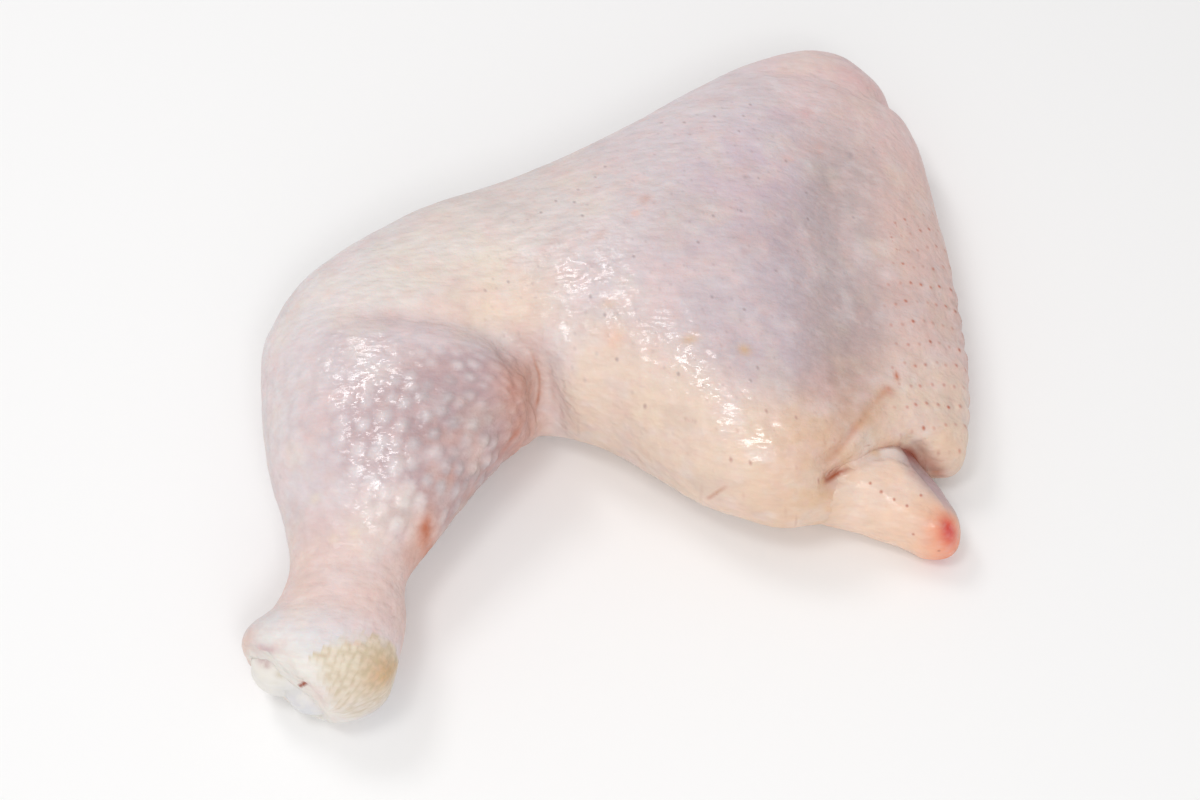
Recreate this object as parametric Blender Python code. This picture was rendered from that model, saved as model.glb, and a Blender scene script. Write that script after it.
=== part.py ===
"""Raw chicken leg quarter: thigh, drumstick and fold of flank skin in one piece, and the hock's cartilage.

Run with: blender --background --python part.py
Metres, +Z up. The leg lies on its cut side with the skin up, the knee towards -X and the hock towards -Y.
The origin is on the board, in the middle of the leg's outline box.

The leg is a loft. Each Section is an upright cut across it, from the leg's outer edge (the long way round the
bend of the knee) to its inner edge. Between the sections every size runs on a smooth curve. Creases and
valleys are then pressed into the surface along lines drawn on it, seen from above.
"""

from typing import NamedTuple

import bmesh
import bpy
import numpy as np

MM = 0.001

# Fineness of the solids.
LEG_ROWS = 80
LEG_AROUND = 56
FOLD_ROWS = 22
FOLD_AROUND = 28
CONDYLE_SEGMENTS = 24
CONDYLE_RINGS = 12

# The drawing's origin is not the leg's middle, so everything is moved by this, in mm.
TO_MIDDLE = (-4.7, -10.8)

# Gap that keeps the cartilage clear of the socket it sits in, in mm.
SOCKET_GAP = 0.35

# The rows are evenly spaced along a line this share of the way from the outer edge to the inner edge.
EVEN_ALONG = 0.25

# How far from each end of the loft its rounded end begins, in sections.
HOCK_ROUNDING = 0.75
FLAP_ROUNDING = 0.9
SMALLEST_END = 0.02


class Section(NamedTuple):
    """A cut across the leg, in mm. level is the height of its widest line over the board, crown is how far
    it rises above that line and belly how far it hangs below. fullness 2 is an ellipse, and more is squarer."""

    name: str
    outer: tuple
    inner: tuple
    level: float
    crown: float
    belly: float
    fullness: float


SECTIONS = (
    Section("hock end", (-74, -79), (-50, -82), 13, 11, 13, 2.6),
    Section("hock knob", (-80.5, -65), (-46, -71), 15, 14, 15, 2.4),
    Section("above the knob", (-74, -57), (-44, -59), 16, 12, 13, 2.2),
    Section("ankle", (-71, -46), (-44, -48), 17, 11, 12, 2.1),
    Section("low calf", (-73, -35), (-36, -35), 18, 15, 16, 2.1),
    Section("calf", (-77.5, -21), (-26, -20.5), 20, 20, 20, 2.2),
    Section("upper calf", (-80, -6), (-18, -11), 20, 22, 21, 2.3),
    Section("below the knee", (-80, 11), (-14, -9), 20, 22, 21, 2.4),
    Section("knee", (-73, 27), (-11, -8), 19, 22, 20, 2.4),
    Section("above the knee", (-59, 39.5), (-7, -9), 19, 21, 20, 2.4),
    Section("thigh start", (-41, 50), (-3, -11), 19, 22, 20, 2.3),
    Section("lower thigh", (-20.5, 58.5), (5, -15), 18, 26, 20, 2.2),
    Section("thigh", (-0.5, 69), (15, -22), 18, 29, 21, 2.2),
    Section("full thigh", (19, 82.5), (28, -30), 18, 30, 21, 2.2),
    Section("upper thigh", (39, 96), (45, -34), 16, 29, 19, 2.2),
    Section("hip", (57.5, 101), (59, -26), 15, 24, 17, 2.3),
    Section("flap start", (70.5, 94), (69, -20.5), 13, 20, 15, 2.4),
    Section("flap", (80, 77), (77, -18.5), 11, 15, 13, 2.5),
    Section("flap edge", (85.5, 53), (85.5, -16), 9, 10, 10, 2.6),
    Section("flap end", (90.5, 25), (89.5, -6), 7, 7, 7, 2.6),
)


class Ring(NamedTuple):
    """A cut across the fold of flank skin, in mm: its middle seen from above, half its width, its heights."""

    name: str
    middle: tuple
    half_width: float
    level: float
    crown: float
    belly: float


FLANK_FOLD = (
    Ring("root", (50, -10), 15, 12, 4, 12),
    Ring("base", (58, -16.5), 14.5, 12, 7, 12),
    Ring("middle", (66, -22), 12.5, 10, 9, 10),
    Ring("neck", (76, -28.5), 9, 8, 8, 8),
    Ring("tip", (84.5, -35.5), 7, 6, 6, 6),
)
FOLD_ROOT_ROUNDING = 0.7
FOLD_TIP_ROUNDING = 0.8


class Crease(NamedTuple):
    """A line drawn on the skin from above, as (x, y, depth) in mm, and how far its sides reach. A negative
    depth is a raised roll."""

    name: str
    line: tuple
    reach: float


CREASES = (
    Crease(
        "knee fold",
        (
            (-78, 15, 0.3), (-62, 10, 0.7), (-48, 8, 1.2), (-36, 7, 2.0),
            (-26, 5, 3.2), (-18, 1, 4.8), (-14, -4, 6.0), (-12, -12, 6.0),
        ),
        4.0,
    ),
    Crease(
        "calf shoulder",
        (
            (-60, 2, -0.4), (-48, 0, -1.0), (-36, -2, -1.8),
            (-27, -4, -2.6), (-21, -8, -2.4), (-20, -16, -0.5),
        ),
        8.0,
    ),
    Crease(
        "valley before the flap",
        ((52, 68, 0.8), (55, 48, 2.4), (59, 22, 3.0), (60, 5, 2.6), (58, -8, 1.2), (55, -18, 0.2)),
        12.0,
    ),
    Crease(
        "roll of the hem",
        ((56, -16, -0.4), (64, -12, -1.2), (72, -9, -1.6), (79, -10, -1.6), (85, -13, -0.8)),
        5.0,
    ),
    Crease(
        "under the hem",
        ((50, -30, 0.6), (55, -26, 1.6), (62, -23, 1.8), (70, -19, 2.4), (77, -18, 2.6), (84, -21, 1.2)),
        4.0,
    ),
    Crease(
        "rim at the hip",
        ((28, 80, 0.4), (42, 85, 1.4), (56, 84, 1.8), (66, 81, 1.8), (73.5, 84, 2.2)),
        3.5,
    ),
)
# Creases fade out from here down to there, as heights on a section: 0 is its widest line and 1 its crown.
CREASE_FULL = 0.25
CREASE_NONE = -0.75

# The knife went through the hock's joint along this line, in mm from above. What lies beyond it is cut off.
JOINT_CUT = ((-79.5, -66.5), (-58.5, -81.0))


class Condyle(NamedTuple):
    """One lobe of the joint's cartilage, in mm."""

    name: str
    middle: tuple
    radii: tuple


CONDYLES = (
    Condyle("outer lobe", (-72.5, -68.3, 10.5), (6.5, 5.5, 7.0)),
    Condyle("inner lobe", (-64.8, -72.5, 9.5), (6.5, 5.5, 7.0)),
    Condyle("neck", (-66.0, -66.0, 10.5), (7.0, 7.0, 6.0)),
)

SKIN_COLOUR = (0.72, 0.56, 0.53, 1.0)
CARTILAGE_COLOUR = (0.74, 0.74, 0.76, 1.0)


def clear_scene():
    """Removes every object, so that the file can be run again."""
    for thing in list(bpy.data.objects):
        bpy.data.objects.remove(thing)


def new_collection(name):
    """A collection in the scene."""
    made = bpy.data.collections.new(name)
    bpy.context.scene.collection.children.link(made)
    return made


def material(name, colour, roughness):
    """A Principled material of one colour."""
    made = bpy.data.materials.new(name)
    made.use_nodes = True
    shader = made.node_tree.nodes["Principled BSDF"]
    shader.inputs["Base Color"].default_value = colour
    shader.inputs["Roughness"].default_value = roughness
    shader.inputs["Metallic"].default_value = 0.0
    return made


def smooth_through(values, places):
    """Catmull-Rom curve through one row of values for each section, read at places counted in sections."""
    rows = np.asarray(values, float)
    rows = np.vstack([2 * rows[0] - rows[1], rows, 2 * rows[-1] - rows[-2]])
    first = np.clip(np.floor(places).astype(int), 0, len(rows) - 4)
    t = (places - first)[:, None]
    a, b, c, d = rows[first], rows[first + 1], rows[first + 2], rows[first + 3]
    return 0.5 * (
        2 * b
        + (c - a) * t
        + (2 * a - 5 * b + 4 * c - d) * t**2
        + (3 * b - a - 3 * c + d) * t**3
    )


def rounded_ends(places, last, first_rounding, last_rounding):
    """1 along the loft, falling on a quarter circle to almost 0 at each end."""
    from_start = np.clip(places / first_rounding, 0, 1)
    from_end = np.clip((last - places) / last_rounding, 0, 1)
    scale = np.sqrt(1 - (1 - from_start) ** 2) * np.sqrt(1 - (1 - from_end) ** 2)
    return np.maximum(scale, SMALLEST_END)[:, None]


def superellipse(around, fullness):
    """Across and up, each from -1 to 1, at equal turns round a superellipse."""
    turn = np.linspace(0, 2 * np.pi, around, endpoint=False)[None, :]
    power = 2 / fullness
    across = np.sign(np.cos(turn)) * np.abs(np.cos(turn)) ** power
    up = np.sign(np.sin(turn)) * np.abs(np.sin(turn)) ** power
    return across, up


def even_places(line, rows):
    """Places counted in sections, spaced evenly along the line through the sections' points."""
    fine = np.linspace(0, len(line) - 1, 40 * len(line))
    steps = np.linalg.norm(np.diff(smooth_through(line, fine), axis=0), axis=1)
    travelled = np.concatenate([[0.0], np.cumsum(steps)])
    return np.interp(np.linspace(0, travelled[-1], rows), travelled, fine)


def normals_of(rings):
    """The unit normal at each point of a grid of rings, from the grid's own neighbours."""
    along = np.gradient(rings, axis=0)
    around = (np.roll(rings, -1, 1) - np.roll(rings, 1, 1)) / 2
    normal = np.cross(along, around)
    length = np.linalg.norm(normal, axis=2, keepdims=True)
    return normal / np.maximum(length, 1e-9)


def pressed_by(crease, points):
    """How deep the crease presses at each (x, y), from the nearest point of its line."""
    line = np.array(crease.line, float)
    nearest = np.full(points.shape[:2], np.inf)
    depth = np.zeros(points.shape[:2])
    for start, end in zip(line[:-1], line[1:]):
        run = end[:2] - start[:2]
        share = np.clip(((points - start[:2]) @ run) / (run @ run), 0, 1)
        away = np.linalg.norm(points - start[:2] - share[..., None] * run, axis=2)
        closer = away < nearest
        nearest = np.where(closer, away, nearest)
        depth = np.where(closer, start[2] + share * (end[2] - start[2]), depth)
    return depth * np.exp(-((nearest / crease.reach) ** 2))


def leg_rings():
    """The leg's surface as rings of points, in mm, with its creases."""
    outer = np.array([s.outer for s in SECTIONS], float)
    inner = np.array([s.inner for s in SECTIONS], float)
    places = even_places(outer + EVEN_ALONG * (inner - outer), LEG_ROWS)
    outer, inner = smooth_through(outer, places), smooth_through(inner, places)
    level, crown, belly, fullness = smooth_through([s[3:] for s in SECTIONS], places).T[:, :, None]
    across, up = superellipse(LEG_AROUND, fullness)
    end = rounded_ends(places, len(SECTIONS) - 1, HOCK_ROUNDING, FLAP_ROUNDING)
    middle, half = (outer + inner) / 2, (inner - outer) / 2
    x = middle[:, :1] + half[:, :1] * across * end
    y = middle[:, 1:] + half[:, 1:] * across * end
    z = level + end * np.where(up > 0, crown, belly) * up
    rings = np.stack([x, y, z], axis=2)
    fade = np.clip((up - CREASE_NONE) / (CREASE_FULL - CREASE_NONE), 0, 1)
    fade = fade * fade * (3 - 2 * fade) * end
    pressed = sum(pressed_by(c, rings[..., :2]) for c in CREASES)
    rings = rings - normals_of(rings) * (pressed * fade)[..., None]
    return on_board(cut_flat(rings, JOINT_CUT))


def fold_rings():
    """The fold of flank skin that comes out under the hem, as rings of points, in mm."""
    places = np.linspace(0, len(FLANK_FOLD) - 1, FOLD_ROWS)
    middle = smooth_through([r.middle for r in FLANK_FOLD], places)
    sizes = smooth_through([r[2:] for r in FLANK_FOLD], places)
    half_width, level, crown, belly = sizes.T[:, :, None]
    ahead = np.gradient(middle, axis=0)
    ahead /= np.linalg.norm(ahead, axis=1, keepdims=True)
    across, up = superellipse(FOLD_AROUND, 2.0)
    end = rounded_ends(places, len(FLANK_FOLD) - 1, FOLD_ROOT_ROUNDING, FOLD_TIP_ROUNDING)
    x = middle[:, :1] + ahead[:, 1:] * half_width * across * end
    y = middle[:, 1:] - ahead[:, :1] * half_width * across * end
    z = level + end * np.where(up > 0, crown, belly) * up
    return on_board(np.stack([x, y, z], axis=2))


def cut_flat(rings, line):
    """Presses what lies to the right of a line, seen from above, back onto an upright plane through it."""
    start, end = np.array(line)
    run = (end - start) / np.linalg.norm(end - start)
    outward = np.array([run[1], -run[0]])
    beyond = np.maximum((rings[..., :2] - start) @ outward, 0)
    rings[..., :2] -= beyond[..., None] * outward
    return rings


def on_board(rings):
    """Flattens what would sink into the board, as soft meat does."""
    rings[..., 2] = np.maximum(rings[..., 2], 0.0)
    return rings


def solid_from_rings(name, rings, into):
    """A closed mesh object through rings of points: a skin of quads, and a fan to a point at each end."""
    rows, around = rings.shape[:2]
    mesh = bmesh.new()
    shift = np.array([*TO_MIDDLE, 0.0])
    loops = [[mesh.verts.new((point + shift) * MM) for point in ring] for ring in rings]
    for low, high in zip(loops[:-1], loops[1:]):
        for i in range(around):
            k = (i + 1) % around
            mesh.faces.new((low[i], high[i], high[k], low[k]))
    for loop in (loops[0], loops[-1]):
        pole = mesh.verts.new(sum((v.co for v in loop), loop[0].co * 0) / around)
        for i in range(around):
            mesh.faces.new((loop[i], loop[(i + 1) % around], pole))
    bmesh.ops.recalc_face_normals(mesh, faces=mesh.faces)
    return object_from(name, mesh, into)


def object_from(name, mesh, into):
    """A smooth-shaded object in a collection from a bmesh, which is freed."""
    data = bpy.data.meshes.new(name)
    mesh.to_mesh(data)
    mesh.free()
    data.shade_smooth()
    made = bpy.data.objects.new(name, data)
    into.objects.link(made)
    return made


def ellipsoid(name, middle, radii, into, grow=0.0):
    """A sphere stretched to three radii, in mm, with its stretch in its mesh."""
    mesh = bmesh.new()
    bmesh.ops.create_uvsphere(mesh, u_segments=CONDYLE_SEGMENTS, v_segments=CONDYLE_RINGS, radius=1)
    place = np.add(middle, (*TO_MIDDLE, 0)) * MM
    for vertex in mesh.verts:
        vertex.co = [p + c * (r + grow) * MM for p, c, r in zip(place, vertex.co, radii)]
    return object_from(name, mesh, into)


def boolean(target, operation, others):
    """Joins or cuts a collection of objects into the target, applies it and removes them."""
    modifier = target.modifiers.new(operation.title(), "BOOLEAN")
    modifier.operation = operation
    modifier.operand_type = "COLLECTION"
    modifier.collection = others
    modifier.solver = "EXACT"
    bpy.context.view_layer.update()
    graph = bpy.context.evaluated_depsgraph_get()
    joined = bpy.data.meshes.new_from_object(target.evaluated_get(graph))
    target.modifiers.clear()
    target.data = joined
    for other in list(others.objects):
        bpy.data.objects.remove(other)
    bpy.data.collections.remove(others)


def knuckle(name, into, grow=0.0):
    """The joint's cartilage: two lobes and a neck, joined into one body."""
    lobes = new_collection(name + " lobes")
    first, *others = CONDYLES
    body = ellipsoid(name, first.middle, first.radii, into, grow)
    for lobe in others:
        ellipsoid(lobe.name, lobe.middle, lobe.radii, lobes, grow)
    boolean(body, "UNION", lobes)
    return body


def build():
    """Makes the leg and its cartilage."""
    clear_scene()
    parts = new_collection("chicken leg quarter")
    joins = new_collection("joins")
    cutters = new_collection("cutters")

    leg = solid_from_rings("leg", leg_rings(), parts)
    solid_from_rings("flank fold", fold_rings(), joins)
    boolean(leg, "UNION", joins)

    knuckle("socket", cutters, grow=SOCKET_GAP)
    boolean(leg, "DIFFERENCE", cutters)
    leg.data.shade_smooth()
    leg.data.materials.clear()
    leg.data.materials.append(material("skin", SKIN_COLOUR, 0.4))

    cartilage = knuckle("hock_cartilage", parts)
    cartilage.data.shade_smooth()
    cartilage.data.materials.clear()
    cartilage.data.materials.append(material("cartilage", CARTILAGE_COLOUR, 0.3))


build()
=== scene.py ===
# %% [markdown]
# # A raw chicken leg quarter
#
# The object is one bent piece of meat in its skin: the drumstick at the left, the thigh and its flap of skin
# at the right, a pointed fold of flank skin at the lower right, and the cut hock at the lower left,
# where a little cartilage shows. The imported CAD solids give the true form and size. This file puts a finer
# surface over them, with goose bumps, creases and scales, and gives it the colours and the wet shine of raw
# skin.
#
# Lengths are in millimetres until the last step of each piece, which turns them into metres.

# %% Load the frame
from typing import NamedTuple

import bpy
import numpy as np
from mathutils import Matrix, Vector


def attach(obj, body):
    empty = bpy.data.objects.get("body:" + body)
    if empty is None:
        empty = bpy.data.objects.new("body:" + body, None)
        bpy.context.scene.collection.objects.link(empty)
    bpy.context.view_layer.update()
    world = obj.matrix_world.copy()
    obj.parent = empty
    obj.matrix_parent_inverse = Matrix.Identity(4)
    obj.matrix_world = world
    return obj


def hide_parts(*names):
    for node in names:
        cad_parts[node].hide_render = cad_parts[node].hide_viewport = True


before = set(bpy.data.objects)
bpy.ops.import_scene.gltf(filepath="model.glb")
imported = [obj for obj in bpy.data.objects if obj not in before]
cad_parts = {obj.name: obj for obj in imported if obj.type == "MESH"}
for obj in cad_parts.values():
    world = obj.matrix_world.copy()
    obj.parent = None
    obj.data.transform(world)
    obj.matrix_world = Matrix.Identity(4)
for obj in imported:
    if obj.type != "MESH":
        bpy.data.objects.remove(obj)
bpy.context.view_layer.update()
MM = 0.001
TINY = 1e-9
X, Y, Z = 0, 1, 2
print("CAD nodes:", sorted(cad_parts))

# %% [markdown]
# ## Camera
#
# The leg lies on a table and is looked at from its front, 60 degrees above the table. A 70 mm lens a little
# over half a metre away gives the photo's mild perspective. The camera looks at a point 15 mm above the
# table.

# %% Camera
LOOK_AT = np.array([-4.7, -10.8, 15.0])
CAMERA_HEIGHT_ANGLE = np.radians(60)
CAMERA_DISTANCE = 560.0
LENS = 70.0
NEAREST_SEEN = 10.0


def aimed(thing, place, target):
    """Links an object into the scene at a place in mm and turns its -Z axis to a target."""
    bpy.context.scene.collection.objects.link(thing)
    thing.location = Vector(place) * MM
    thing.rotation_mode = "QUATERNION"
    thing.rotation_quaternion = (Vector(target) - Vector(place)).to_track_quat("-Z", "Y")
    return thing


camera = bpy.data.objects.new("camera", bpy.data.cameras.new("camera"))
camera.data.lens = LENS
camera.data.clip_start = NEAREST_SEEN * MM
towards_camera = np.array([0.0, -np.cos(CAMERA_HEIGHT_ANGLE), np.sin(CAMERA_HEIGHT_ANGLE)])
aimed(camera, LOOK_AT + towards_camera * CAMERA_DISTANCE, LOOK_AT)
bpy.context.scene.camera = camera
print("camera at", [round(v, 3) for v in camera.location])

# %% [markdown]
# ## Floor and light
#
# The photo is bright and almost without shadows, as on a light table. A white world does most of that. Three
# small soft lamps, in an arc over the leg from behind the knee to the front, give the wet skin its sparkle
# along the drumstick and the thigh. A large one in front keeps the near side bright. The view transform is
# Standard, so that white stays white.

# %% Floor and light
FLOOR_HALF = 1500.0
FLOOR_DROP = 0.3
FLOOR_GREY = (0.93, 0.93, 0.93, 1)
FLOOR_ROUGHNESS = 0.9
ROOM_WHITE = (1.0, 0.99, 0.985, 1.0)
ROOM_STRENGTH = 0.58
# Each lamp has its direction from the leg, its distance and its size in mm, and its power in watts.
LAMPS = (
    ("lamp behind the knee", (-0.42, 0.38, 0.82), 900.0, 220.0, 1.3),
    ("lamp overhead", (-0.25, -0.15, 0.95), 900.0, 220.0, 1.2),
    ("lamp in front", (0.10, -0.60, 0.79), 900.0, 220.0, 1.3),
    ("large lamp in front", (0.0, -0.90, 0.42), 1100.0, 1000.0, 1.8),
)

scene = bpy.context.scene
scene.view_settings.view_transform = "Standard"
world = bpy.data.worlds.new("white room")
world.use_nodes = True
world.node_tree.nodes["Background"].inputs["Color"].default_value = ROOM_WHITE
world.node_tree.nodes["Background"].inputs["Strength"].default_value = ROOM_STRENGTH
scene.world = world


def soft_lamp(name, direction, distance, size, watts):
    """A square lamp in a direction from the leg, facing it."""
    lamp = bpy.data.lights.new(name, "AREA")
    lamp.size = size * MM
    lamp.energy = watts
    place = LOOK_AT + np.array(direction) / np.linalg.norm(direction) * distance
    return aimed(bpy.data.objects.new(name, lamp), place, LOOK_AT)


for lamp in LAMPS:
    soft_lamp(*lamp)

corners = np.array([(-1, -1), (1, -1), (1, 1), (-1, 1)]) * FLOOR_HALF
floor_mesh = bpy.data.meshes.new("floor")
floor_mesh.from_pydata([(x * MM, y * MM, -FLOOR_DROP * MM) for x, y in corners], [], [(0, 1, 2, 3)])
floor = bpy.data.objects.new("floor", floor_mesh)
scene.collection.objects.link(floor)

floor_paint = bpy.data.materials.new("pale floor")
floor_paint.use_nodes = True
floor_paint.node_tree.nodes["Principled BSDF"].inputs["Base Color"].default_value = FLOOR_GREY
floor_paint.node_tree.nodes["Principled BSDF"].inputs["Roughness"].default_value = FLOOR_ROUGHNESS
floor_mesh.materials.append(floor_paint)
print("floor and", len(LAMPS), "lamps")

# %% [markdown]
# ## Curves and noise
#
# A leg has no straight line and no exact circle, so it is drawn with a few sections and a smooth curve
# through them. Catmull-Rom curves suit that: they pass through every section, so each number stays a real
# measure. The unevenness of skin comes from value noise: random numbers at the corners of a grid of cubes,
# blended smoothly between them. The random numbers are seeded, so each run gives the same leg.

# %% Curves
STEPS_PER_SECTION = 40
SMALLEST_RING = 0.01


def smooth_through(values, places):
    """Catmull-Rom curve through one row of values for each section, read at places counted in sections."""
    rows = np.asarray(values, float)
    rows = np.vstack([2 * rows[0] - rows[1], rows, 2 * rows[-1] - rows[-2]])
    first = np.clip(np.floor(places).astype(int), 0, len(rows) - 4)
    t = (places - first)[:, None]
    a, b, c, d = rows[first], rows[first + 1], rows[first + 2], rows[first + 3]
    return 0.5 * (2 * b + (c - a) * t + (2 * a - 5 * b + 4 * c - d) * t**2 + (3 * b - a - 3 * c + d) * t**3)


def even_places(line, rows):
    """Places counted in sections, spaced evenly along the line through the sections' points."""
    fine = np.linspace(0, len(line) - 1, STEPS_PER_SECTION * len(line))
    steps = np.linalg.norm(np.diff(smooth_through(line, fine), axis=0), axis=1)
    travelled = np.concatenate([[0.0], np.cumsum(steps)])
    return np.interp(np.linspace(0, travelled[-1], rows), travelled, fine)


def superellipse(turn, fullness):
    """Across and up on |across|^n + |up|^n = 1, along the ray at each turn. n is 2 for an ellipse."""
    across, up = np.cos(turn), np.sin(turn)
    reach = (np.abs(across) ** fullness + np.abs(up) ** fullness) ** (-1 / fullness)
    return across * reach, up * reach


def rounded_ends(places, last, first_rounding, last_rounding):
    """1 along a loft, falling on a quarter circle to almost 0 at each end."""
    from_start = np.clip(places / first_rounding, 0, 1)
    from_end = np.clip((last - places) / last_rounding, 0, 1)
    scale = np.sqrt(1 - (1 - from_start) ** 2) * np.sqrt(1 - (1 - from_end) ** 2)
    return np.maximum(scale, SMALLEST_RING)[:, None]


def ramp(value, low, high):
    """0 below low, 1 above high and an S-curve between; low may be the larger."""
    t = np.clip((value - low) / (high - low), 0, 1)
    return t * t * (3 - 2 * t)


def window(points, *limits):
    """The product of a ramp for each limit: an axis, then where on it the ramp is 0 and where it is 1."""
    share = 1.0
    for axis, none, full in limits:
        share = share * ramp(points[..., axis], none, full)
    return share


print("a ramp from 0 to 1:", ramp(np.linspace(0, 1, 5), 0, 1).round(2))

# %% Noise
DICE_SIDE = 64
DICE = np.random.default_rng(20).uniform(-1, 1, (DICE_SIDE, DICE_SIDE, DICE_SIDE))
TILT = np.array([[0.80, 0.36, -0.48], [-0.60, 0.48, -0.64], [0.0, 0.80, 0.60]])
SHIFT_STEP = 17.0
OCTAVE_SHARE = 0.55


def noise(points, size, shift=0):
    """Value noise from -1 to 1: random numbers at the corners of cubes of this size, in mm, and an S-curve
    between them. The cubes are tilted, so that no pattern lines up with the axes."""
    q = points @ TILT.T / size + SHIFT_STEP * shift
    cell = np.floor(q).astype(int)
    share = q - cell
    share = share * share * (3 - 2 * share)
    total = np.zeros(points.shape[:-1])
    for corner in np.ndindex(2, 2, 2):
        weight = np.prod(np.where(corner, share, 1 - share), axis=-1)
        i, j, k = np.moveaxis((cell + corner) % DICE_SIDE, -1, 0)
        total += weight * DICE[i, j, k]
    return total


def rough(points, size, octaves=3, shift=0):
    """Noise of several sizes, each half the size and OCTAVE_SHARE of the height of the one before."""
    return sum(OCTAVE_SHARE**n * noise(points, size / 2**n, shift + n) for n in range(octaves))


def layered(points, layers):
    """Several noises added up. Each layer is a height and a size in mm, and a shift."""
    return sum(height * noise(points, size, shift) for height, size, shift in layers)


print("noise at three points:", noise(np.eye(3) * 10, 4.0).round(2))

# %% [markdown]
# ## The leg's form
#
# These are the sections that the CAD solid is lofted through: upright cuts across the leg, from its outer
# edge, the long way round the bend of the knee, to its inner edge. The same numbers here keep the fine
# surface on the solid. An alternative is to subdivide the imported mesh, but its triangles would show as facets
# in the shine, and a surface of two parameters also gives a place to put the goose bumps in neat rows.

# %% Sections
class Section(NamedTuple):
    """A cut across the leg, in mm. level is the height of its widest line over the table, crown is how far it
    rises above that line and belly how far it hangs below. fullness 2 is an ellipse, and more is squarer."""

    name: str
    outer: tuple
    inner: tuple
    level: float
    crown: float
    belly: float
    fullness: float


SECTIONS = (
    Section("hock end", (-74, -79), (-50, -82), 13, 11, 13, 2.6),
    Section("hock knob", (-80.5, -65), (-46, -71), 15, 14, 15, 2.4),
    Section("above the knob", (-74, -57), (-44, -59), 16, 12, 13, 2.2),
    Section("ankle", (-71, -46), (-44, -48), 17, 11, 12, 2.1),
    Section("low calf", (-73, -35), (-36, -35), 18, 15, 16, 2.1),
    Section("calf", (-77.5, -21), (-26, -20.5), 20, 20, 20, 2.2),
    Section("upper calf", (-80, -6), (-18, -11), 20, 22, 21, 2.3),
    Section("below the knee", (-80, 11), (-14, -9), 20, 22, 21, 2.4),
    Section("knee", (-73, 27), (-11, -8), 19, 22, 20, 2.4),
    Section("above the knee", (-59, 39.5), (-7, -9), 19, 21, 20, 2.4),
    Section("thigh start", (-41, 50), (-3, -11), 19, 22, 20, 2.3),
    Section("lower thigh", (-20.5, 58.5), (5, -15), 18, 26, 20, 2.2),
    Section("thigh", (-0.5, 69), (15, -22), 18, 29, 21, 2.2),
    Section("full thigh", (19, 82.5), (28, -30), 18, 30, 21, 2.2),
    Section("upper thigh", (39, 96), (45, -34), 16, 29, 19, 2.2),
    Section("hip", (57.5, 101), (59, -26), 15, 24, 17, 2.3),
    Section("flap start", (70.5, 94), (69, -20.5), 13, 20, 15, 2.4),
    Section("flap", (80, 77), (77, -18.5), 11, 15, 13, 2.5),
    Section("flap edge", (85.5, 53), (85.5, -16), 9, 10, 10, 2.6),
    Section("flap end", (90.5, 25), (89.5, -6), 7, 7, 7, 2.6),
)
print(len(SECTIONS), "sections, from the", SECTIONS[0].name, "to the", SECTIONS[-1].name)

# %% Leg grid
TO_MIDDLE = np.array([-4.7, -10.8, 0.0])
HOCK_ROUNDING = 0.75
FLAP_ROUNDING = 0.9
EVEN_ALONG = 0.25
LEG_ROWS = 328
ROUND_TOP = 190
ROUND_UNDER = 48


def leg_grid(rows, turn):
    """The smooth leg as rows of points, in mm. Row by row every size follows the curve through the sections.
    Across a row, x and y run from the outer to the inner edge and z follows the crown or the belly."""
    outer = np.array([s.outer for s in SECTIONS], float)
    inner = np.array([s.inner for s in SECTIONS], float)
    places = even_places(outer + EVEN_ALONG * (inner - outer), rows)
    outer, inner = smooth_through(outer, places), smooth_through(inner, places)
    level, crown, belly, fullness = smooth_through([s[3:] for s in SECTIONS], places).T[:, :, None]
    across, up = superellipse(turn[None, :], fullness)
    end = rounded_ends(places, len(SECTIONS) - 1, HOCK_ROUNDING, FLAP_ROUNDING)
    middle, half = (outer + inner) / 2, (inner - outer) / 2
    x = middle[:, :1] + half[:, :1] * across * end
    y = middle[:, 1:] + half[:, 1:] * across * end
    z = level + end * np.where(up > 0, crown, belly) * up
    return np.stack([x, y, z], axis=2), up, end


turn = np.concatenate([
    np.linspace(-np.pi / 2, 0, ROUND_UNDER, endpoint=False),
    np.linspace(0, np.pi, ROUND_TOP, endpoint=False),
    np.linspace(np.pi, 1.5 * np.pi, ROUND_UNDER, endpoint=False),
])
leg, leg_up, leg_end = leg_grid(LEG_ROWS, turn)
print("leg grid", leg.shape)

# %% Corner of the flap
CORNER_FACING = np.array([0.821, -0.571])
CORNER_DISTANCE = 78.9
CORNER_SOFTNESS = 0.4
CORNER_TAKEN = 0.9
CORNER_AT = (Y, -4, -11)


def slanted_corner(points):
    """The flap's lower right corner is slanted: most of what sticks out beyond a line is taken away. The
    amount is softness * ln(1 + exp(beyond / softness)), which is a bend with a soft start."""
    beyond = points[..., :2] @ CORNER_FACING - CORNER_DISTANCE
    taken = CORNER_TAKEN * CORNER_SOFTNESS * np.logaddexp(0, beyond / CORNER_SOFTNESS)
    points[..., :2] -= (taken * window(points, CORNER_AT))[..., None] * CORNER_FACING
    return points


leg = slanted_corner(leg)
print("highest point", leg[..., 2].max().round(1), "mm")

# %% [markdown]
# ## Creases and valleys
#
# Skin folds where the leg bends, sinks between the thigh and its flap, and rolls over along the hem. Each is
# a line drawn on the leg from above, with a depth at each point and a width. The surface is pressed in along
# its own normals, by a bell curve of the distance to the line. The wide ones are the same as in the CAD
# solid. The narrow ones are only here, because they are finer than its facets.

# %% Creases
class Crease(NamedTuple):
    """A line on the skin from above, as (x, y, depth) in mm, and its width. A negative depth is a roll."""

    name: str
    line: tuple
    reach: float


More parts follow.
